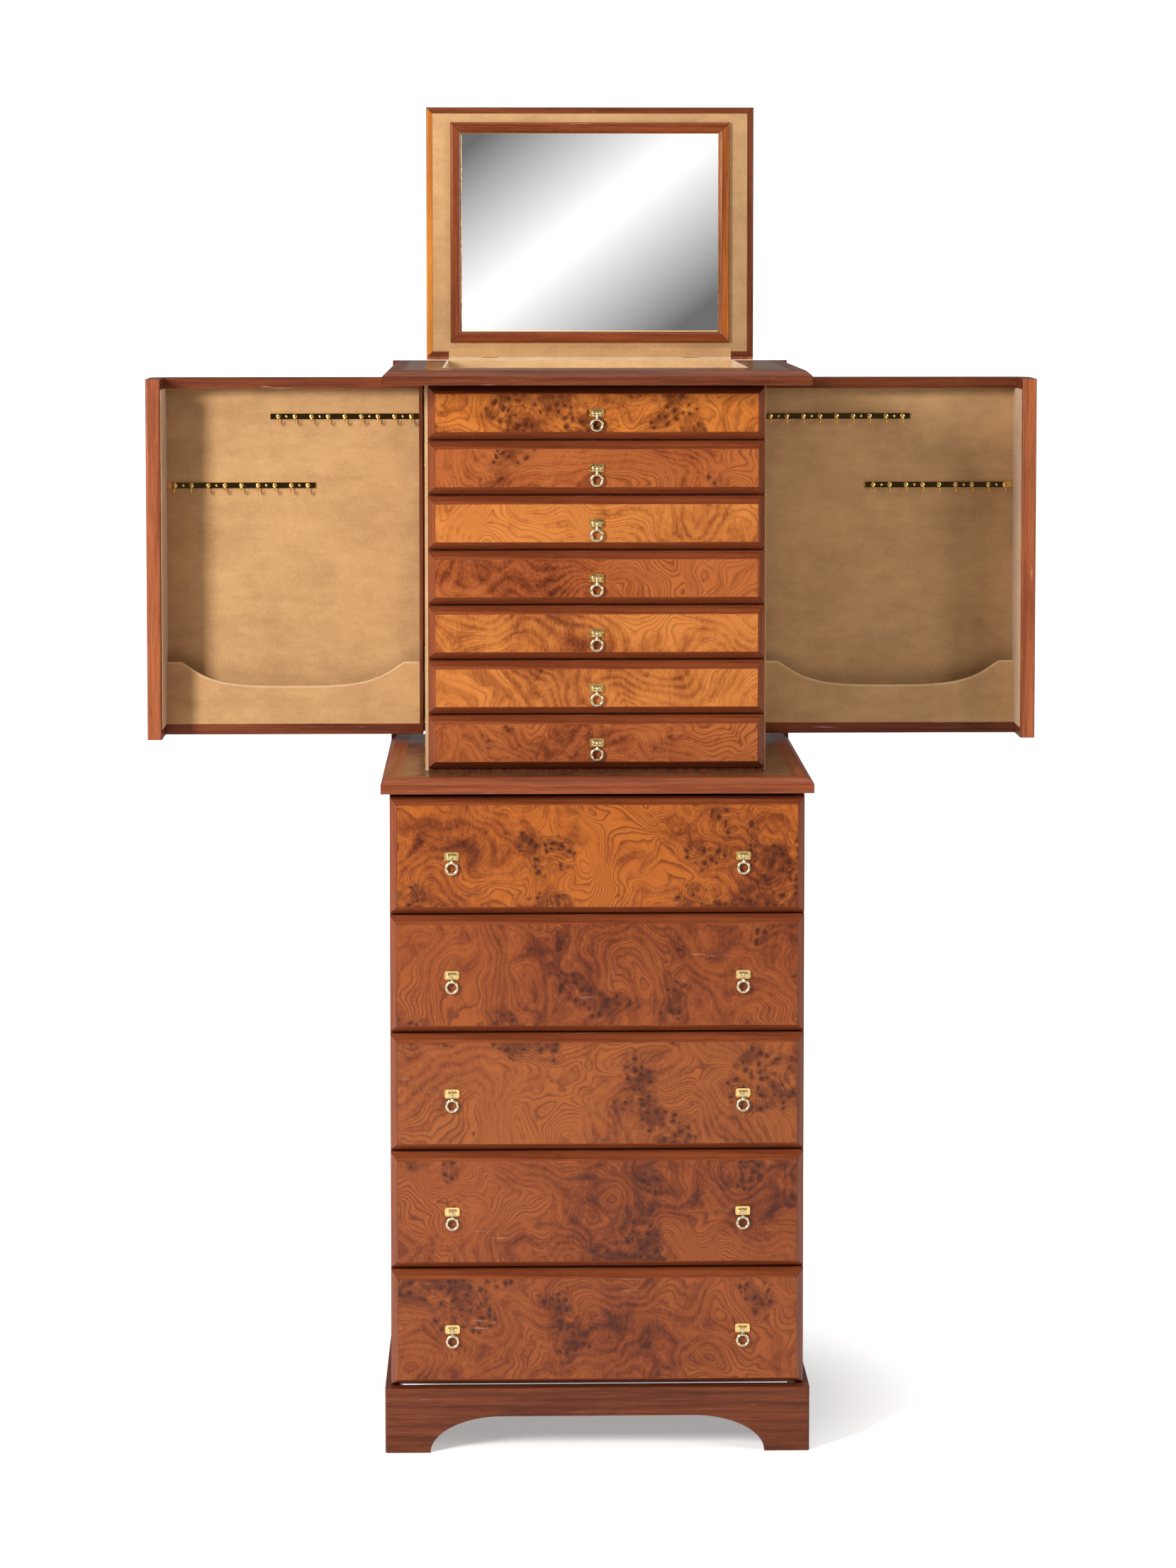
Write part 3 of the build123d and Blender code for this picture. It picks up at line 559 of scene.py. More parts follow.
def bars(name, centre, u, v, half, profile, materials, field=True, back=True, open_side=None,
         side_slots=(0, 0, 0, 0), back_slot=0):
    """A frame of mitred bars. profile is (inset, rise) from the outer back to the inner front; slot
    0 is the bars and slot 1 the field. open_side leaves out one side and squares the ends there.
    The sides are counted bottom, right, top, left."""
    centre, u, v = Vector(centre), Vector(u), Vector(v)
    n = u.cross(v)
    a, b = half
    corners = [(-1, -1), (1, -1), (1, 1), (-1, 1)]
    verts, faces, slots, uvs, joint = [], [], [], [], []

    def point(signs, inset, rise, square=None):
        x, y = signs[0] * (a - inset), signs[1] * (b - inset)
        if square == 0:
            x = signs[0] * a
        if square == 1:
            y = signs[1] * b
        return centre + u * x + v * y + n * rise

    for side in range(4):
        if side == open_side:
            continue
        begin, end = corners[side], corners[(side + 1) % 4]
        axis = side % 2
        square_begin = axis if open_side is not None and (side - 1) % 4 == open_side else None
        square_end = axis if open_side is not None and (side + 1) % 4 == open_side else None
        run = (u if axis == 0 else v) * (1 if side < 2 else -1)
        first = len(verts)
        across = 0.0
        rows = []
        for i, (inset, rise) in enumerate(profile):
            if i:
                across += (Vector(profile[i]) - Vector(profile[i - 1])).length
            start_at = point(begin, inset, rise, square_begin)
            end_at = point(end, inset, rise, square_end)
            spots = [start_at, start_at + run * MITRE, end_at - run * MITRE, end_at]
            marks = [float(square_begin is None), 0.0, 0.0, float(square_end is None)]
            rows.append([(run.dot(spot) + 7.3 * side, across + 0.31 * side) for spot in spots])
            verts += spots
            joint += marks
        for i in range(len(profile) - 1):
            for j in range(3):
                low, high = first + 4 * i + j, first + 4 * (i + 1) + j
                faces.append((low, low + 1, high + 1, high))
                uvs.append([rows[i][j], rows[i][j + 1], rows[i + 1][j + 1], rows[i + 1][j]])
                slots.append(side_slots[side])
    ends = ((field, profile[-1], 1, 1), (back, profile[0], back_slot, -1))
    for wanted, (inset, rise), slot, order in ends:
        if wanted:
            first = len(verts)
            verts += [point(c, inset, rise) for c in corners[::order]]
            joint += [0.0] * 4
            faces.append((first, first + 1, first + 2, first + 3))
            flat = [(u.dot(p), v.dot(p)) for p in verts[first:]]
            uvs.append(flat)
            slots.append(slot)
    thing = new_object(name, verts, faces, materials, slots, uvs, joint)
    return tidy(thing)


def tidy(thing, angle=35, outward=False):
    """Merges doubles and shades smooth, with sharp edges kept."""
    import bmesh
    work = bmesh.new()
    work.from_mesh(thing.data)
    bmesh.ops.remove_doubles(work, verts=work.verts, dist=0.00001)
    if outward:
        bmesh.ops.recalc_face_normals(work, faces=work.faces)
    work.to_mesh(thing.data)
    work.free()
    thing.data.polygons.foreach_set("use_smooth", [True] * len(thing.data.polygons))
    thing.data.set_sharp_from_angle(angle=math.radians(angle))
    return thing


# %% [markdown]
# ## Drawer fronts
# A front is a flat field of burl inside four bevelled mahogany bars. The field stands proud, and a
# hair-thin groove parts it from the bars. Each front has its own leaf of veneer: some calm and
# golden, some red and swirling, and the top one of the lower case crowded with eyes.

# %% Drawer fronts
FRONT_RUN, FRONT_DEPTH, FRONT_SQUARE = 7.5 * MM, 12 * MM, 6 * MM


def drawer_front(node, look):
    low, high, centre, half = front_of(node)
    groove = 0.35 * MM
    rise = FRONT_SQUARE + FRONT_DEPTH
    profile = rounded([(0, 0), (0, FRONT_SQUARE), (FRONT_RUN, rise)], 0.7 * MM)
    profile += [(FRONT_RUN + 0.2 * MM, rise - groove), (FRONT_RUN + 0.6 * MM, rise - groove / 4)]
    thing = bars(node + "_veneered", centre, (1, 0, 0), (0, 0, 1), half, profile,
                 [EDGE_WARM, veneer(node + "_burl", look)])
    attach(thing, node.replace("_front", ""))
    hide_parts(node)
    return centre[0], high.y - rise, centre[2]


field_at = {}
for group_name, looks in (("upper", UPPER_LOOKS), ("lower", LOWER_LOOKS)):
    for number, look in enumerate(looks, 1):
        node = f"{group_name}_drawer_{number}_front"
        field_at[node] = drawer_front(node, look)
print("fronts", len(field_at))

# %% [markdown]
# ## Tops
# Both tops are a burl field inside mahogany edging with a wide chamfer. The back edge is square,
# because nobody sees it, so the bars run round three sides only. The upper top has the well cut
# through it, so its field is four strips round the hole.

# %% Tops
def edged_top(node, hole=None):
    low, high = corners_of(node)
    thick = high.z - low.z
    band = 22 * MM
    profile = [(band, 0), (0, 0), (0, thick - 6 * MM), (7 * MM, thick), (band, thick)]
    profile = rounded(profile, 0.8 * MM)
    centre = ((low.x + high.x) / 2, (low.y + high.y) / 2, low.z)
    half = ((high.x - low.x) / 2, (high.y - low.y) / 2)
    look = veneer(node + "_burl", (21.0 if hole else 24.0, UMBER, 0.6, 50.0, 0.4, 0.2))
    wood = EDGE if hole else EDGE_WARM
    edging = bars(node + "_edging", centre, (1, 0, 0), (0, 1, 0), half, profile, [wood, look],
                  field=False, back=False, open_side=2)
    x = (low.x + band, high.x - band)
    y = (low.y + band, high.y)
    cells = [(x[0], x[1], y[0], y[1])]
    if hole:
        hx, hy = hole
        cells = [(x[0], x[1], y[0], hy[0]), (x[0], x[1], hy[1], y[1]),
                 (x[0], hx[0], hy[0], hy[1]), (hx[1], x[1], hy[0], hy[1])]
    verts, faces, slots = [], [], []
    for x0, x1, y0, y1 in cells:
        for z, order in ((high.z, 1), (low.z, -1)):
            ring = [(x0, y0, z), (x1, y0, z), (x1, y1, z), (x0, y1, z)][::order]
            faces.append(tuple(range(len(verts), len(verts) + 4)))
            slots.append(1 if order == 1 else 0)
            verts += ring
    y1 = high.y
    faces.append(tuple(range(len(verts), len(verts) + 4)))
    slots.append(0)
    verts += [(high.x, y1, low.z), (low.x, y1, low.z), (low.x, y1, high.z), (high.x, y1, high.z)]
    flat = new_object(node + "_field", verts, faces, [wood, look], slots,
                      [[(verts[i][0], verts[i][1] + verts[i][2]) for i in face] for face in faces])
    thing = merged(node + "_edged", [edging, flat])
    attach(thing, "cabinet")
    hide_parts(node)


edged_top("lower_top")
HOLE_HALF = 164 * MM
HOLE_Y = (FRONT + 97.5 * MM, FRONT + 364.5 * MM)
edged_top("upper_top", ((-HOLE_HALF, HOLE_HALF), HOLE_Y))
print("tops edged")

# %% [markdown]
# ## Suede, brass and glass
# Suede is a rough cloth whose nap has been brushed this way and that, so it is a slow mottle of
# two browns with a very fine pile. Brass is the same for every fitting, a little tarnished in
# patches, but the hinges beside the doors are a dark copy of it along their barrels, a painted
# shade for the gaps they sit in. The looking glass is a clean metal.

# %% Group: nap
s, given, out = new_group(
    "nap",
    [("Vector", "v", None), ("Light", "c", None), ("Dark", "c", None)],
    [("Color", "c"), ("Height", "f")],
)
rubbed = s.noise(given["Vector"], 15.0, 6.0, 0.72)
brushed = s.noise(s.stretch(given["Vector"], (26, 26, 70)), 1.0, 5.0, 0.7)
pile = s.noise(given["Vector"], 700.0, 2.0, 0.7)
tone = s.plus(s.times(rubbed, 0.6), s.times(brushed, 0.4))
tone = s.plus(tone, s.times(s.minus(pile, 0.5), 0.35))
s.put(out["Color"], s.mix(s.ramp(tone, 0.27, 0.73), given["Dark"], given["Light"]))
s.put(out["Height"], s.plus(pile, rubbed))
NAP = s.tree


# %% Suede, brass, looking glass
def suede(name, light, dark):
    material, sheet, shader = start(name, 1.0, Sheen_Weight=0.25, Sheen_Roughness=0.6, Specular_IOR_Level=0.1)
    nap = sheet.group(NAP, Vector=where(sheet), Light=(*light, 1), Dark=(*dark, 1))
    sheet.put(shader["Base Color"], nap["Color"])
    sheet.put(shader["Normal"], bump(sheet, nap["Height"], 0.35, 0.0006))
    return material


def metal(name, colour, low, high):
    material, sheet, shader = start(name, Metallic=1.0, Base_Color=(*colour, 1))
    cloud = sheet.noise(where(sheet), 60.0, 4.0, 0.6)
    sheet.put(shader["Roughness"], sheet.ramp(cloud, 0.35, 0.7, low, high))
    return material


SUEDE = suede("suede_tan", (0.52, 0.300, 0.130), (0.36, 0.195, 0.080))
SUEDE_PALE = suede("suede_pale", (0.62, 0.40, 0.20), (0.46, 0.28, 0.125))
BRASS = metal("brass", (0.90, 0.66, 0.27), 0.16, 0.30)
RAIL_METAL = metal("rail_metal", (0.90, 0.66, 0.27), 0.03, 0.07)
# A dark copy of the brass: painted shade for the hinge barrels that sit in the gaps beside the doors.
SHADED_BRASS = metal("aged_brass", (0.16, 0.10, 0.05), 0.25, 0.45)
RING_METAL = metal("ring_metal", (0.72, 0.60, 0.40), 0.22, 0.32)
# A bright gold for the bead round the mirror glass: a painted highlight for the frame's inner lip.
GILT_LIP_HIGHLIGHT = metal("gilt", (0.95, 0.62, 0.25), 0.2, 0.35)
GLASS = start("looking_glass", 0.01, Metallic=1.0, Base_Color=(0.97, 0.97, 0.97, 1))[0]
print("materials", len(bpy.data.materials))


# %% [markdown]
# ## Boards, linings and boxes
# These keep the joiner's shape. Each face gets the finish that its place and direction ask for,
# and the sharp edges of the boards are rounded a little.

# %% Dress the joiner's pieces
def dress(node, materials, pick=lambda place, normal: 0, round_by=0.0):
    """Gives each face the material whose number pick(place, normal) returns."""
    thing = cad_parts[node]
    mesh = thing.data
    mesh.materials.clear()
    for material in materials:
        mesh.materials.append(material)
    numbers = [pick(thing.matrix_world @ face.center, face.normal) for face in mesh.polygons]
    mesh.polygons.foreach_set("material_index", numbers)
    if round_by:
        soften(thing, round_by)


def by_direction(place, normal):
    """Grain along X on fronts, along Y on the sides."""
    return 1 if abs(normal.x) > 0.7 else 0


SIDE_BURL = veneer("side_burl", (31.0, BROWN, 0.7, 26.0, 0.45, 0.35))
lower_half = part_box("lower_case")[1][0]
column_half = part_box("upper_case")[1][0]
dress("plinth", [BOARD_X, BOARD_Y], by_direction, 0.9 * MM)
dress("lower_case", [BOARD_Z, SIDE_BURL], lambda p, n: int(abs(p.x) > lower_half - MM and abs(n.x) > 0.7))
dress("upper_case", [BOARD_Z, SUEDE_PALE], lambda p, n: int(abs(p.x) > column_half - 0.9 * MM))
PALE = mahogany("pale_wood", (0.55, 0.36, 0.19, 1), (0.38, 0.22, 0.10, 1), "Object", gloss=0.5, coat=0.0)
dress("back_panels", [PALE])
dress("well_lining", [SUEDE_PALE])
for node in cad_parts:
    if node.endswith("_box"):
        low, high = corners_of(node)
        middle = (low + high) / 2
        middle.z = high.z
        dress(node, [PALE, SUEDE], lambda p, n: int(n.dot(middle - p) > 0 and p.z < high.z - MM))
LEVELS, BARREL_REACH = (784.0, 1076.0), 41.6


def hinge_metal(place, normal):
    """Gives the barrels beside the doors the dark brass, a painted shade for the gap they sit in; their ends
    and the lid's hinges stay bright brass.
    """
    beside_door = abs(place.x) > 170 * MM
    return int(beside_door and any(abs(place.z / MM - level) < BARREL_REACH for level in LEVELS))


dress("fixed_hinge_leaves", [BRASS, SHADED_BRASS], hinge_metal, 0.25 * MM)
dress("lid_hinge_leaves", [BRASS], round_by=0.25 * MM)
dress("mirror_glass", [GLASS])
print("joiner's pieces dressed")

# %% Doors: burl outside, mahogany boards, suede inside
DOOR_BURL = veneer("door_burl", (41.0, BROWN, 0.8, 26.0, 0.45, 0.4))
MID = mahogany("mahogany_return", (0.40, 0.115, 0.040, 1), (0.19, 0.046, 0.018, 1), "Object", "Z")


# Along X, in millimetres: both ends of the tray, where the stile ends, and the outer return's
# inner and outer faces. Along Y: where the back of the panel begins.
TRAY_IN, TRAY_OUT, STILE_END, RETURN_IN, RETURN_OUT, PANEL_BACK = 194.4, 480.7, 194.5, 481, 497, 339


def door_part(place, normal):
    """0 boards, 1 burl, 2 uprights, 3 the front edge of the return."""
    if normal.y > 0.7 and place.y > FRONT + PANEL_BACK * MM:
        return 1
    out = abs(place.x) / MM
    if out > RETURN_IN:
        return 3 if normal.y < -0.5 else (1 if abs(normal.x) > 0.7 and out > RETURN_OUT else 2)
    return 2 if out < STILE_END else 0


for side in ("left", "right"):
    dress(side + "_door", [BOARD_X, DOOR_BURL, BOARD_Z, MID], door_part, 0.7 * MM)
    dress(side + "_door_lining", [SUEDE])
print("doors dressed")


# %% [markdown]
# ## Lid and mirror
# The lid is a board with mitred, moulded edges: burl on the outside, suede inside. The mirror
# frame is proud of the suede, with its edge turned over and a fine gilt bead next to the glass,
# a painted highlight for the light caught on the frame's inner lip. Where the lid meets the case,
# the suede runs on over the hinge. A sleeve about the hinge's own axis stands for that fold, so it
# stays right at every angle of the lid.

# %% Boxed, turned and bent shapes
class Piece:
    """Gathers simple shapes into one mesh."""

    def __init__(self):
        self.verts, self.faces, self.slots = [], [], []

    def add(self, verts, faces, slot=0):
        first = len(self.verts)
        self.verts += [Vector(v) for v in verts]
        self.faces += [tuple(first + i for i in face) for face in faces]
        self.slots += [slot] * len(faces)

    def loops(self, loops, slot=0, closed=False):
        """Skins a row of equal loops, with end caps unless the row closes on itself."""
        n, count = len(loops[0]), len(loops)
        faces = []
        for i in range(count if closed else count - 1):
            a, b = i * n, (i + 1) % count * n
            faces += [(a + j, a + (j + 1) % n, b + (j + 1) % n, b + j) for j in range(n)]
        if not closed:
            faces += [tuple(range(n))[::-1], tuple(range((count - 1) * n, count * n))]
        self.add([p for loop in loops for p in loop], faces, slot)

    def box(self, low, high, slot=0):
        (x0, y0, z0), (x1, y1, z1) = low, high
        ring = [(x0, y0), (x1, y0), (x1, y1), (x0, y1)]
        self.loops([[(x, y, z) for x, y in ring] for z in (z0, z1)], slot)

    def turned(self, origin, axis, profile, around=24, slot=0):
        """A turned shape. profile is (radius, distance along the axis), in millimetres."""
        axis = Vector(axis).normalized()
        side = axis.orthogonal().normalized()
        up = axis.cross(side)
        turns = [2 * math.pi * i / around for i in range(around)]
        self.loops([[Vector(origin) + axis * along * MM + (side * math.cos(t) + up * math.sin(t)) * r * MM
                     for t in turns] for r, along in profile], slot)

    def tube(self, path, radius, around=12, closed=False, slot=0):
        """A round wire of one radius, in millimetres, along a path of points."""
        path = [Vector(p) for p in path]
        n = len(path)
        loops, side = [], None
        for i, p in enumerate(path):
            before = path[i - 1] if i or closed else p
            after = path[(i + 1) % n] if i < n - 1 or closed else p
            ahead = (after - before).normalized()
            side = ahead.orthogonal() if side is None else side - ahead * side.dot(ahead)
            side.normalize()
            up = ahead.cross(side)
            turns = [2 * math.pi * j / around for j in range(around)]
            loops.append([p + (side * math.cos(t) + up * math.sin(t)) * radius * MM for t in turns])
        self.loops(loops, slot, closed)

    def plate(self, centre, steps, slot=0, corner_steps=5):
        """A plate that faces the front. steps are (half width, half height, corner, rise)."""
        loops = []
        for a, b, r, rise in steps:
            loop = []
            for k, (sx, sz) in enumerate(((1, 1), (-1, 1), (-1, -1), (1, -1))):
                for j in range(corner_steps + 1):
                    t = math.radians(90 * (k + j / corner_steps))
                    loop.append(Vector(centre) + Vector(
                        (sx * (a - r) + r * math.cos(t), -rise, sz * (b - r) + r * math.sin(t))) * MM)
            loops.append(loop)
        self.loops(loops, slot)

    def finish(self, name, materials, body, kind, angle=40):
        thing = new_object(name, self.verts, self.faces, materials, self.slots)
        tidy(thing, angle, outward=True)
        if body:
            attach(thing, body)
        return thing


# %% Lid
low, high, centre, half = front_of("lid_panel")
thick = (high.y - low.y) / MM
EDGE_WIDE = 7.0
profile = rounded([(EDGE_WIDE, 0), (0, 5), (0, thick - 1.2), (1.2, thick), (EDGE_WIDE, thick)], 0.6)
profile = [(a * MM, b * MM) for a, b in profile + [(EDGE_WIDE, thick - 1.6)]]
LID_BURL = veneer("lid_burl", (51.0, BROWN, 0.6, 26.0, 0.4, 0.5))
# The lid's left bar gets the lighter mahogany: painted light on the side that faces the left lamp.
lid = bars("lid_moulded", centre, (1, 0, 0), (0, 0, 1), half, profile, [EDGE, PALE, EDGE_PAINTED_LIT, LID_BURL],
           side_slots=(0, 0, 0, 2), back_slot=3)
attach(lid, "lid")
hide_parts("lid_panel")
piece = Piece()
at = (centre[0], low.y, centre[2])
a, b = half[0] / MM - EDGE_WIDE, half[1] / MM - EDGE_WIDE
piece.plate(at, [(a, b, 0.4, -1.6), (a, b, 0.4, -0.5), (a - 0.5, b - 0.5, 0.4, -0.05)])
WELL_HALF = 161.5
foot = (low.z / MM, low.z / MM + EDGE_WIDE)
piece.box((-WELL_HALF * MM, low.y - 0.35 * MM, foot[0] * MM + 0.0002),
          (WELL_HALF * MM, low.y + 0.3 * MM, foot[1] * MM + 0.004))
lining = piece.finish("lid_suede", [SUEDE], "lid", "suede")
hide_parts("lid_lining")
piece = Piece()
for side in (-1, 1):
    xs = mirrored(side, WELL_HALF + 0.3, 186.8)
    piece.box((xs[0], low.y, 1150.3 * MM), (xs[1], high.y, low.z + MM))
piece.finish("lid_feet", [MID], "lid", "mahogany")
print("lid", len(lid.data.polygons), "faces")

# %% Fold of suede over the lid's hinge
AXIS = (FRONT + 376.6 * MM, 1150.2 * MM)
piece = Piece()
sleeve = [(2.2, 0), (2.45, 0), (2.45, 2 * WELL_HALF), (2.2, 2 * WELL_HALF)]
piece.turned((-WELL_HALF * MM, *AXIS), (1, 0, 0), sleeve, 32)
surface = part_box("upper_top")[1][2]
piece.box((-WELL_HALF * MM, FRONT + 363.9 * MM, surface - 0.001),
          (WELL_HALF * MM, FRONT + 374.6 * MM, surface + 0.0002))
piece.finish("hinge_fold", [SUEDE_PALE], "cabinet", "suede")

# %% The suede's edge down each side of the column, and the lip of each door's stile
for side, sign, welt in (("left", -1, 182.4), ("right", 1, 180.3)):
    for name, x, y, z, finish, body, kind in (
        ("cloth_edge", (178.9, welt), (56.3, 60.0), (722, 1134.4), SUEDE_PALE, "cabinet", "suede"),
        ("stile_lip", (186.8, 190.6), (322.2, 323.4), (730, 1130), BOARD_Z, side + "_door", "mahogany"),
    ):
        piece = Piece()
        xs = mirrored(sign, *x)
        piece.box((xs[0], FRONT + y[0] * MM, z[0] * MM), (xs[1], FRONT + y[1] * MM, z[1] * MM))
        piece.finish(f"{side}_{name}", [finish], body, kind)
print("gaps closed")

# %% Mirror frame and its gilt line, a painted highlight on the inner lip
low, high, centre, half = front_of("mirror_frame")
glass_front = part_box("mirror_glass")[0][1]
deep = (high.y - low.y) / MM
sunk = (high.y - glass_front) / MM
profile = rounded([(0, 0), (0, deep - 1.6), (1.8, deep), (9.2, deep), (11.9, deep - 1.6)], 0.9, 4)
profile = [(a * MM, b * MM) for a, b in profile + [(12.2, sunk + 0.2), (12.2, sunk - 0.3)]]
MIRROR_WOOD = mahogany("mirror_wood", (0.27, 0.062, 0.016, 1), (0.10, 0.021, 0.007, 1), gloss=0.26, coat=0.10)
# A lighter, more orange copy of the frame's mahogany, used on the right bar only: painted light on its inner
# slope, which faces the left lamp.
MIRROR_LIT_SIDE = mahogany("mirror_side", (0.42, 0.115, 0.018, 1), (0.13, 0.028, 0.008, 1), gloss=0.26, coat=0.10)
rim = bars("mirror_moulding", centre, (1, 0, 0), (0, 0, 1), half, profile, [MIRROR_WOOD, PALE, MIRROR_LIT_SIDE],
           field=False, side_slots=(0, 2, 0, 0))
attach(rim, "lid")
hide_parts("mirror_frame")
inner = (half[0] - 12.2 * MM, half[1] - 12.2 * MM)
profile = [(a * MM, (sunk + b) * MM) for a, b in [(0, 0.0), (0, 0.6), (0.35, 0.7), (0.8, 0.1)]]
# The gilt bead stands in for the light caught on the frame's inner lip: a painted highlight.
line = bars("mirror_gilt_line", centre, (1, 0, 0), (0, 0, 1), inner, profile, [GILT_LIP_HIGHLIGHT], field=False, back=False)
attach(line, "lid")
print("mirror frame", len(rim.data.polygons), "faces")

# %% [markdown]
# ## Brass fittings
# A pull is a small plate with a raised rim and an inner loop, two lugs, and a ring that hangs
# from a pin between them. A hook rail carries nine hooks and four screws. The hooks and the
# screws repeat at one pitch, so a node tree sets them along the rail, and its inputs are named:
# the shape, the count, the first place, the step and the finish.

# %% Pulls
# Turned profiles: radius and distance along the axis
LUG = [(1.0, 0), (1.5, 0.05), (1.6, 0.25), (1.6, 1.35), (1.4, 1.6), (0.5, 1.6)]
STEM = [(0.6, 0), (1.75, 0.6), (1.35, 1.8), (1.1, 3.0), (1.1, 5.2), (1.1, 7.6), (0.8, 8.1), (0.2, 8.2)]
PIN = [(0.7, 0), (0.8, 0.1), (0.8, 8.8), (0.7, 8.9)]


def pull(piece, x, y, z):
    """The fixed plate of a pull, its back at y."""
    at = Vector((x, y, z))
    piece.plate(at, [(8.1, 4.95, 2.4, 0), (8.1, 4.95, 2.4, 0.9), (7.75, 4.6, 2.2, 1.4),
                     (7.2, 4.05, 1.9, 1.4), (6.85, 3.7, 1.6, 0.75)])
    inner = at - Vector((0, 0, 0.3 * MM))
    piece.plate(inner, [(5.4, 2.9, 1.9, 0.7), (5.4, 2.9, 1.9, 1.2), (5.1, 2.6, 1.7, 1.4),
                        (4.5, 2.0, 1.2, 1.4), (4.2, 1.7, 1.0, 0.8)])
    for side in (-1, 1):
        start_at = at + Vector((side * 2.9, -3.0, 0)) * MM
        piece.turned(start_at, (side, 0, 0), LUG)
        xs = mirrored(side, 2.95, 4.4)
        piece.box((x + xs[0], y - 3.0 * MM, z - 1.5 * MM), (x + xs[1], y - 0.7 * MM, z + 1.5 * MM))
        pin_at = at + Vector((side * 6.0, -0.7, 0.2)) * MM
        piece.turned(pin_at, (0, -1, 0), [(0.7, 0), (0.7, 0.35), (0.4, 0.6), (0.1, 0.6)], 12)


def ring(name, x, y, z):
    """The hanging ring, from its pin in the lugs."""
    axis = Vector((x, y - 3.0 * MM, z))
    middle = axis - Vector((0, 0, 12.5 * MM))
    piece = Piece()
    turns = [2 * math.pi * i / 64 for i in range(64)]
    piece.tube([middle + Vector((math.sin(t), 0, math.cos(t))) * 5.875 * MM for t in turns], 1.475, 16, True)
    piece.turned(middle + Vector((0, 0, 5.4 * MM)), (0, 0, 1), STEM, 20)
    piece.turned(axis - Vector((4.45 * MM, 0, 0)), (1, 0, 0), PIN, 16)
    thing = piece.finish(name + "_turned", [RING_METAL], name, "brass")
    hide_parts(name)


for node, (x, y, z) in field_at.items():
    drawer = node.replace("_front", "")
    number = drawer.split("_")[-1]
    wide = drawer.startswith("lower")
    places = [("_left", -154 * MM), ("_right", 154 * MM)] if wide else [("", 0.0)]
    piece = Piece()
    for word, offset in places:
        pull(piece, x + offset, y, z)
        ring(f"{'lower' if wide else 'upper'}_ring_{number}{word}", x + offset, y, z)
    piece.finish(drawer + "_plates", [BRASS], drawer, "brass")
print("pulls", sum(2 if "lower" in n else 1 for n in field_at))

# %% A node tree that repeats a shape along a line
row = bpy.data.node_groups.new("row_along_rail", "GeometryNodeTree")
for label, kind in (("Shape", "Object"), ("Count", "Int"), ("First", "Vector"), ("Step", "Vector"),
                    ("Material", "Material")):
    row.interface.new_socket(label, in_out="INPUT", socket_type="NodeSocket" + kind)
row.interface.new_socket("Geometry", in_out="OUTPUT", socket_type="NodeSocketGeometry")
given = row.nodes.new("NodeGroupInput").outputs
line = row.nodes.new("GeometryNodeMeshLine")
shape = row.nodes.new("GeometryNodeObjectInfo")
spread = row.nodes.new("GeometryNodeInstanceOnPoints")
real = row.nodes.new("GeometryNodeRealizeInstances")
finish = row.nodes.new("GeometryNodeSetMaterial")
for source, target in (
    (given["Count"], line.inputs["Count"]), (given["First"], line.inputs["Start Location"]),
    (given["Step"], line.inputs["Offset"]), (given["Shape"], shape.inputs["Object"]),
    (line.outputs["Mesh"], spread.inputs["Points"]), (shape.outputs["Geometry"], spread.inputs["Instance"]),
    (spread.outputs[0], real.inputs[0]), (real.outputs[0], finish.inputs["Geometry"]),
    (given["Material"], finish.inputs["Material"]),
    (finish.outputs[0], row.nodes.new("NodeGroupOutput").inputs[0]),
):
    row.links.new(source, target)


def repeat(name, shape, count, first, step, material):
    """Runs the node tree and gives a plain mesh."""
    thing = new_object(name, [], [], [material])
    modifier = thing.modifiers.new("row", "NODES")
    modifier.node_group = row
    values = {"Shape": shape, "Count": count, "First": first, "Step": step, "Material": material}
    for item in row.interface.items_tree:
        if item.in_out == "INPUT":
            modifier[item.identifier] = values[item.name]
    bpy.context.view_layer.update()
    return freeze(thing)


# %% Hook and screw shapes
def bend(points, radius, steps=5):
    """Rounds the corners of a path, in millimetres."""
    path = [Vector(points[0])]
    for before, corner, after in zip(points, points[1:], points[2:]):
        a, c, b = Vector(before), Vector(corner), Vector(after)
        first, last = c + (a - c).normalized() * radius, c + (b - c).normalized() * radius
        for i in range(steps + 1):
            t = i / steps
            path.append((1 - t) ** 2 * first + 2 * t * (1 - t) * c + t * t * last)
    return path + [Vector(points[-1])]


piece = Piece()
piece.turned((0, 0, 0), (0, -1, 0), [(2.6, 0), (2.6, 0.5), (2.2, 1.0), (1.3, 1.2), (0.9, 1.9)], 20)
wire = bend([(0, -0.6, 0), (0, -3.4, 0), (0, -3.4, -7.4), (0, -8.0, -7.4), (0, -8.0, -3.4)], 2.1)
piece.tube([p * MM for p in wire], 0.8, 10)
piece.turned((0, -8.0 * MM, -3.4 * MM), (0, 0, 1), [(0.8, -0.1), (0.95, 0.1), (0.8, 0.5), (0.3, 0.75)], 12)
hook_shape = piece.finish("hook_shape", [BRASS], None, None)
piece = Piece()
piece.turned((0, 0, 0), (0, -1, 0), [(1.3, 0), (1.25, 0.3), (0.8, 0.6), (0.2, 0.62)], 16)
screw_shape = piece.finish("screw_shape", [BRASS], None, None)

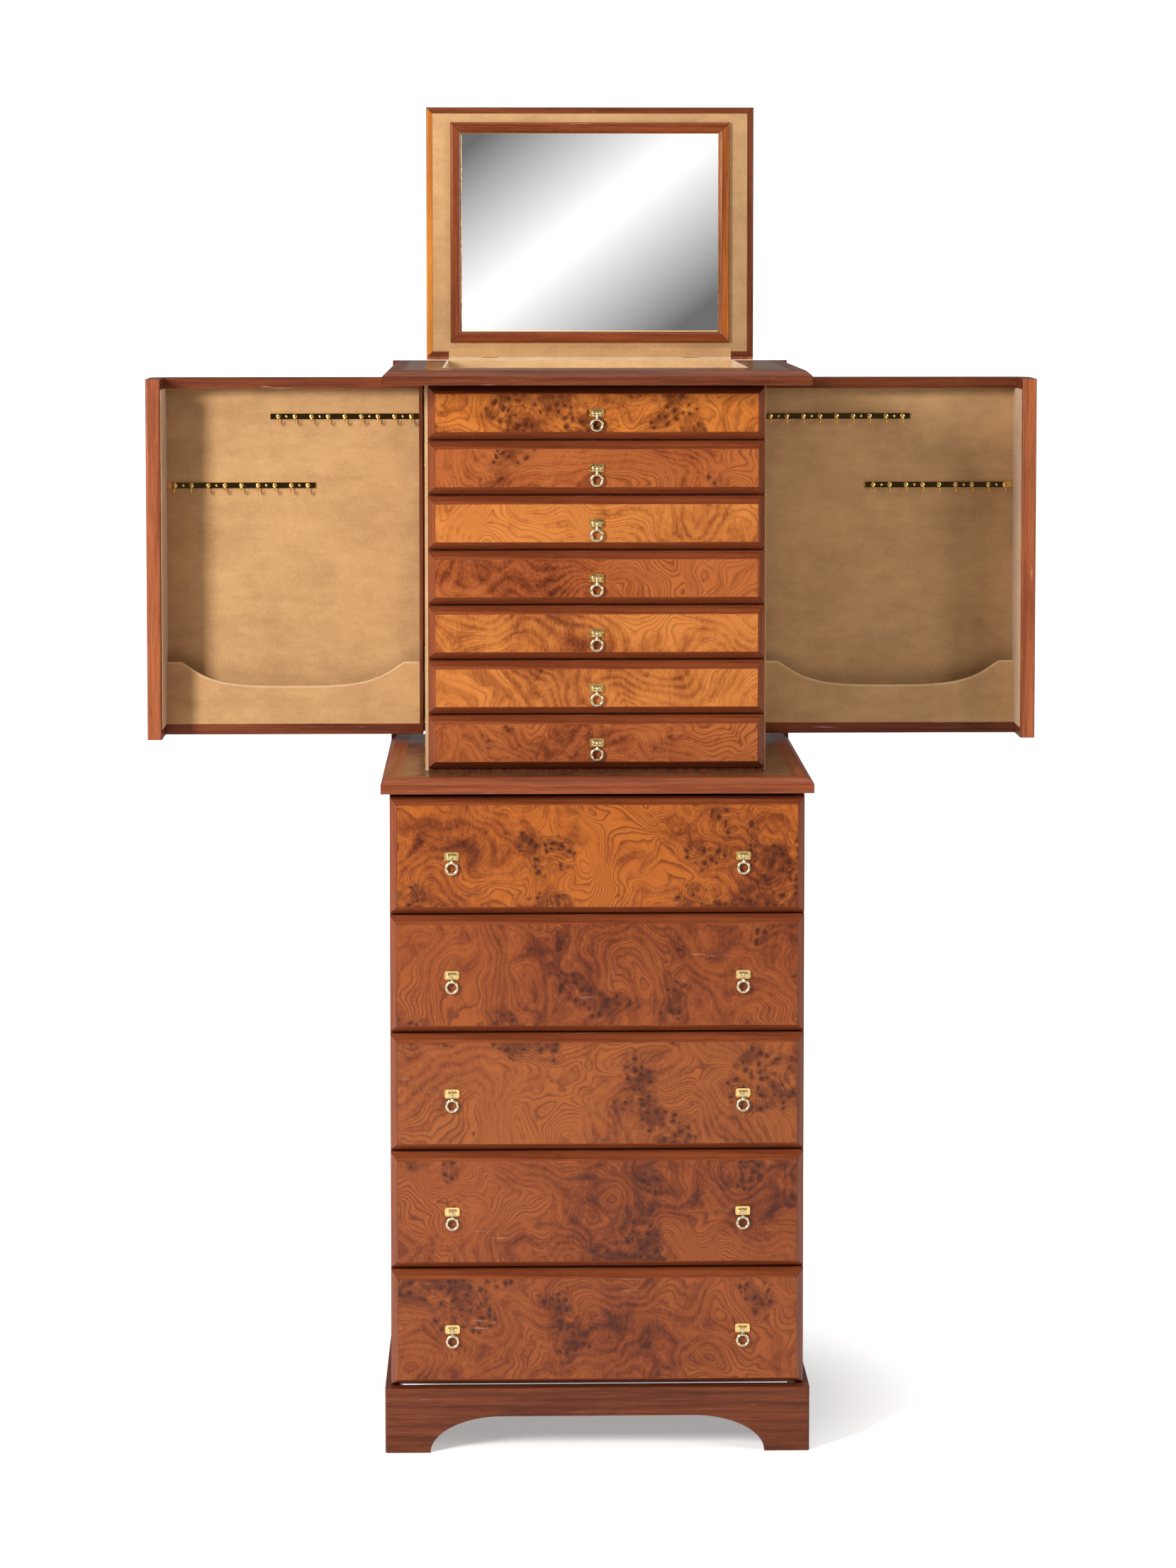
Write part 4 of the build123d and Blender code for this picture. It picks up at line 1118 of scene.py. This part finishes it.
# %% Hook rails and the doors' half of their hinges
RAIL_FACE = FRONT + (332.5 - 1.6) * MM
DOOR_TOP, PITCH, RAIL_HALF = 1132.0, 18.8, 84.5
RAIL = [(RAIL_HALF, 3.6, 0.5, 0), (RAIL_HALF, 3.6, 0.5, 1.1), (84.1, 3.2, 0.3, 1.6)]
KNUCKLE = [(1.3, 0), (2.7, 0), (3.0, 0.3), (3.0, 27.3), (2.7, 27.6), (1.3, 27.6)]
for side, sign in (("left", -1), ("right", 1)):
    body = side + "_door"
    rails, small = Piece(), []
    for start_x, drop in ((TRAY_IN, 44.3), (TRAY_OUT - 2 * RAIL_HALF, 122.5)):
        mid_x, z = sign * (start_x + RAIL_HALF) * MM, (DOOR_TOP - drop) * MM
        rails.plate((mid_x, RAIL_FACE + 1.6 * MM, z), RAIL, 0, 3)
        step_x = PITCH * MM
        label = f"{side}_{round(drop)}"
        small.append(repeat(label + "_hooks", hook_shape, 9, (mid_x - 4 * step_x, RAIL_FACE, z),
                            (step_x, 0, 0), BRASS))
        for first in (-3.5, 1.5):
            small.append(repeat(label + "_screws", screw_shape, 2,
                                (mid_x + first * step_x, RAIL_FACE, z), (2 * step_x, 0, 0), BRASS))
    # The door's half of each hinge, barrel and leaf, is in the dark brass: painted shade for the gap beside
    # the column.
    for level in LEVELS:
        barrel = (sign * 186.7 * MM, FRONT + 314 * MM, (level - 13.8) * MM)
        rails.turned(barrel, (0, 0, 1), KNUCKLE, 28, 1)
        xs = mirrored(sign, 189.2, 190.4)
        rails.box((xs[0], FRONT + 314.1 * MM, (level - 13.8) * MM),
                  (xs[1], FRONT + 334 * MM, (level + 13.8) * MM), 1)
    rail_thing = rails.finish(side + "_rails", [RAIL_METAL, SHADED_BRASS], body, "brass")
    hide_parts(side + "_door_hardware")
    hooks = merged(side + "_hooks", small)
    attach(hooks, body)
for shape in (hook_shape, screw_shape):
    bpy.data.objects.remove(shape)
print("hooks 36, screws 16")

# %% [markdown]
# ## Pocket brims
# The brim of each door pocket is a turned edge of suede that dips in the middle.

# %% Pocket brims
DIP = [(-1, 0), (-0.78, 0.61), (-0.5, 0.92), (0, 1), (0.5, 0.92), (0.78, 0.61), (1, 0)]


def dip_at(t):
    """The share of the depth at t, smoothly through the listed points."""
    for (x0, y0), (x1, y1) in zip(DIP, DIP[1:]):
        if t <= x1:
            break
    i = DIP.index((x0, y0))

    def slope(k):
        if k in (0, len(DIP) - 1):
            return 3.0 if k == 0 else -3.0
        return (DIP[k + 1][1] - DIP[k - 1][1]) / (DIP[k + 1][0] - DIP[k - 1][0])

    w = x1 - x0
    u = (t - x0) / w
    return ((2 * u**3 - 3 * u**2 + 1) * y0 + (u**3 - 2 * u**2 + u) * w * slope(i)
            + (3 * u**2 - 2 * u**3) * y1 + (u**3 - u**2) * w * slope(i + 1))


middle, reach = (TRAY_IN + TRAY_OUT) / 2, (TRAY_OUT - TRAY_IN) / 2 - 17
for side, sign in (("left", -1), ("right", 1)):
    y = FRONT + 313.0 * MM
    path = [Vector((sign * (TRAY_IN + 0.6) * MM, y, 808.9 * MM))]
    for i in range(49):
        t = -1 + i / 24
        path.append(Vector((sign * (middle + reach * t) * MM, y, (809 - 27.5 * dip_at(t)) * MM)))
    path.append(Vector((sign * (TRAY_OUT - 0.6) * MM, y, 808.9 * MM)))
    piece = Piece()
    piece.tube(path, 1.5, 10)
    piece.finish(side + "_pocket_brim", [SUEDE_PALE], side + "_door", "suede")
print("brims 2")
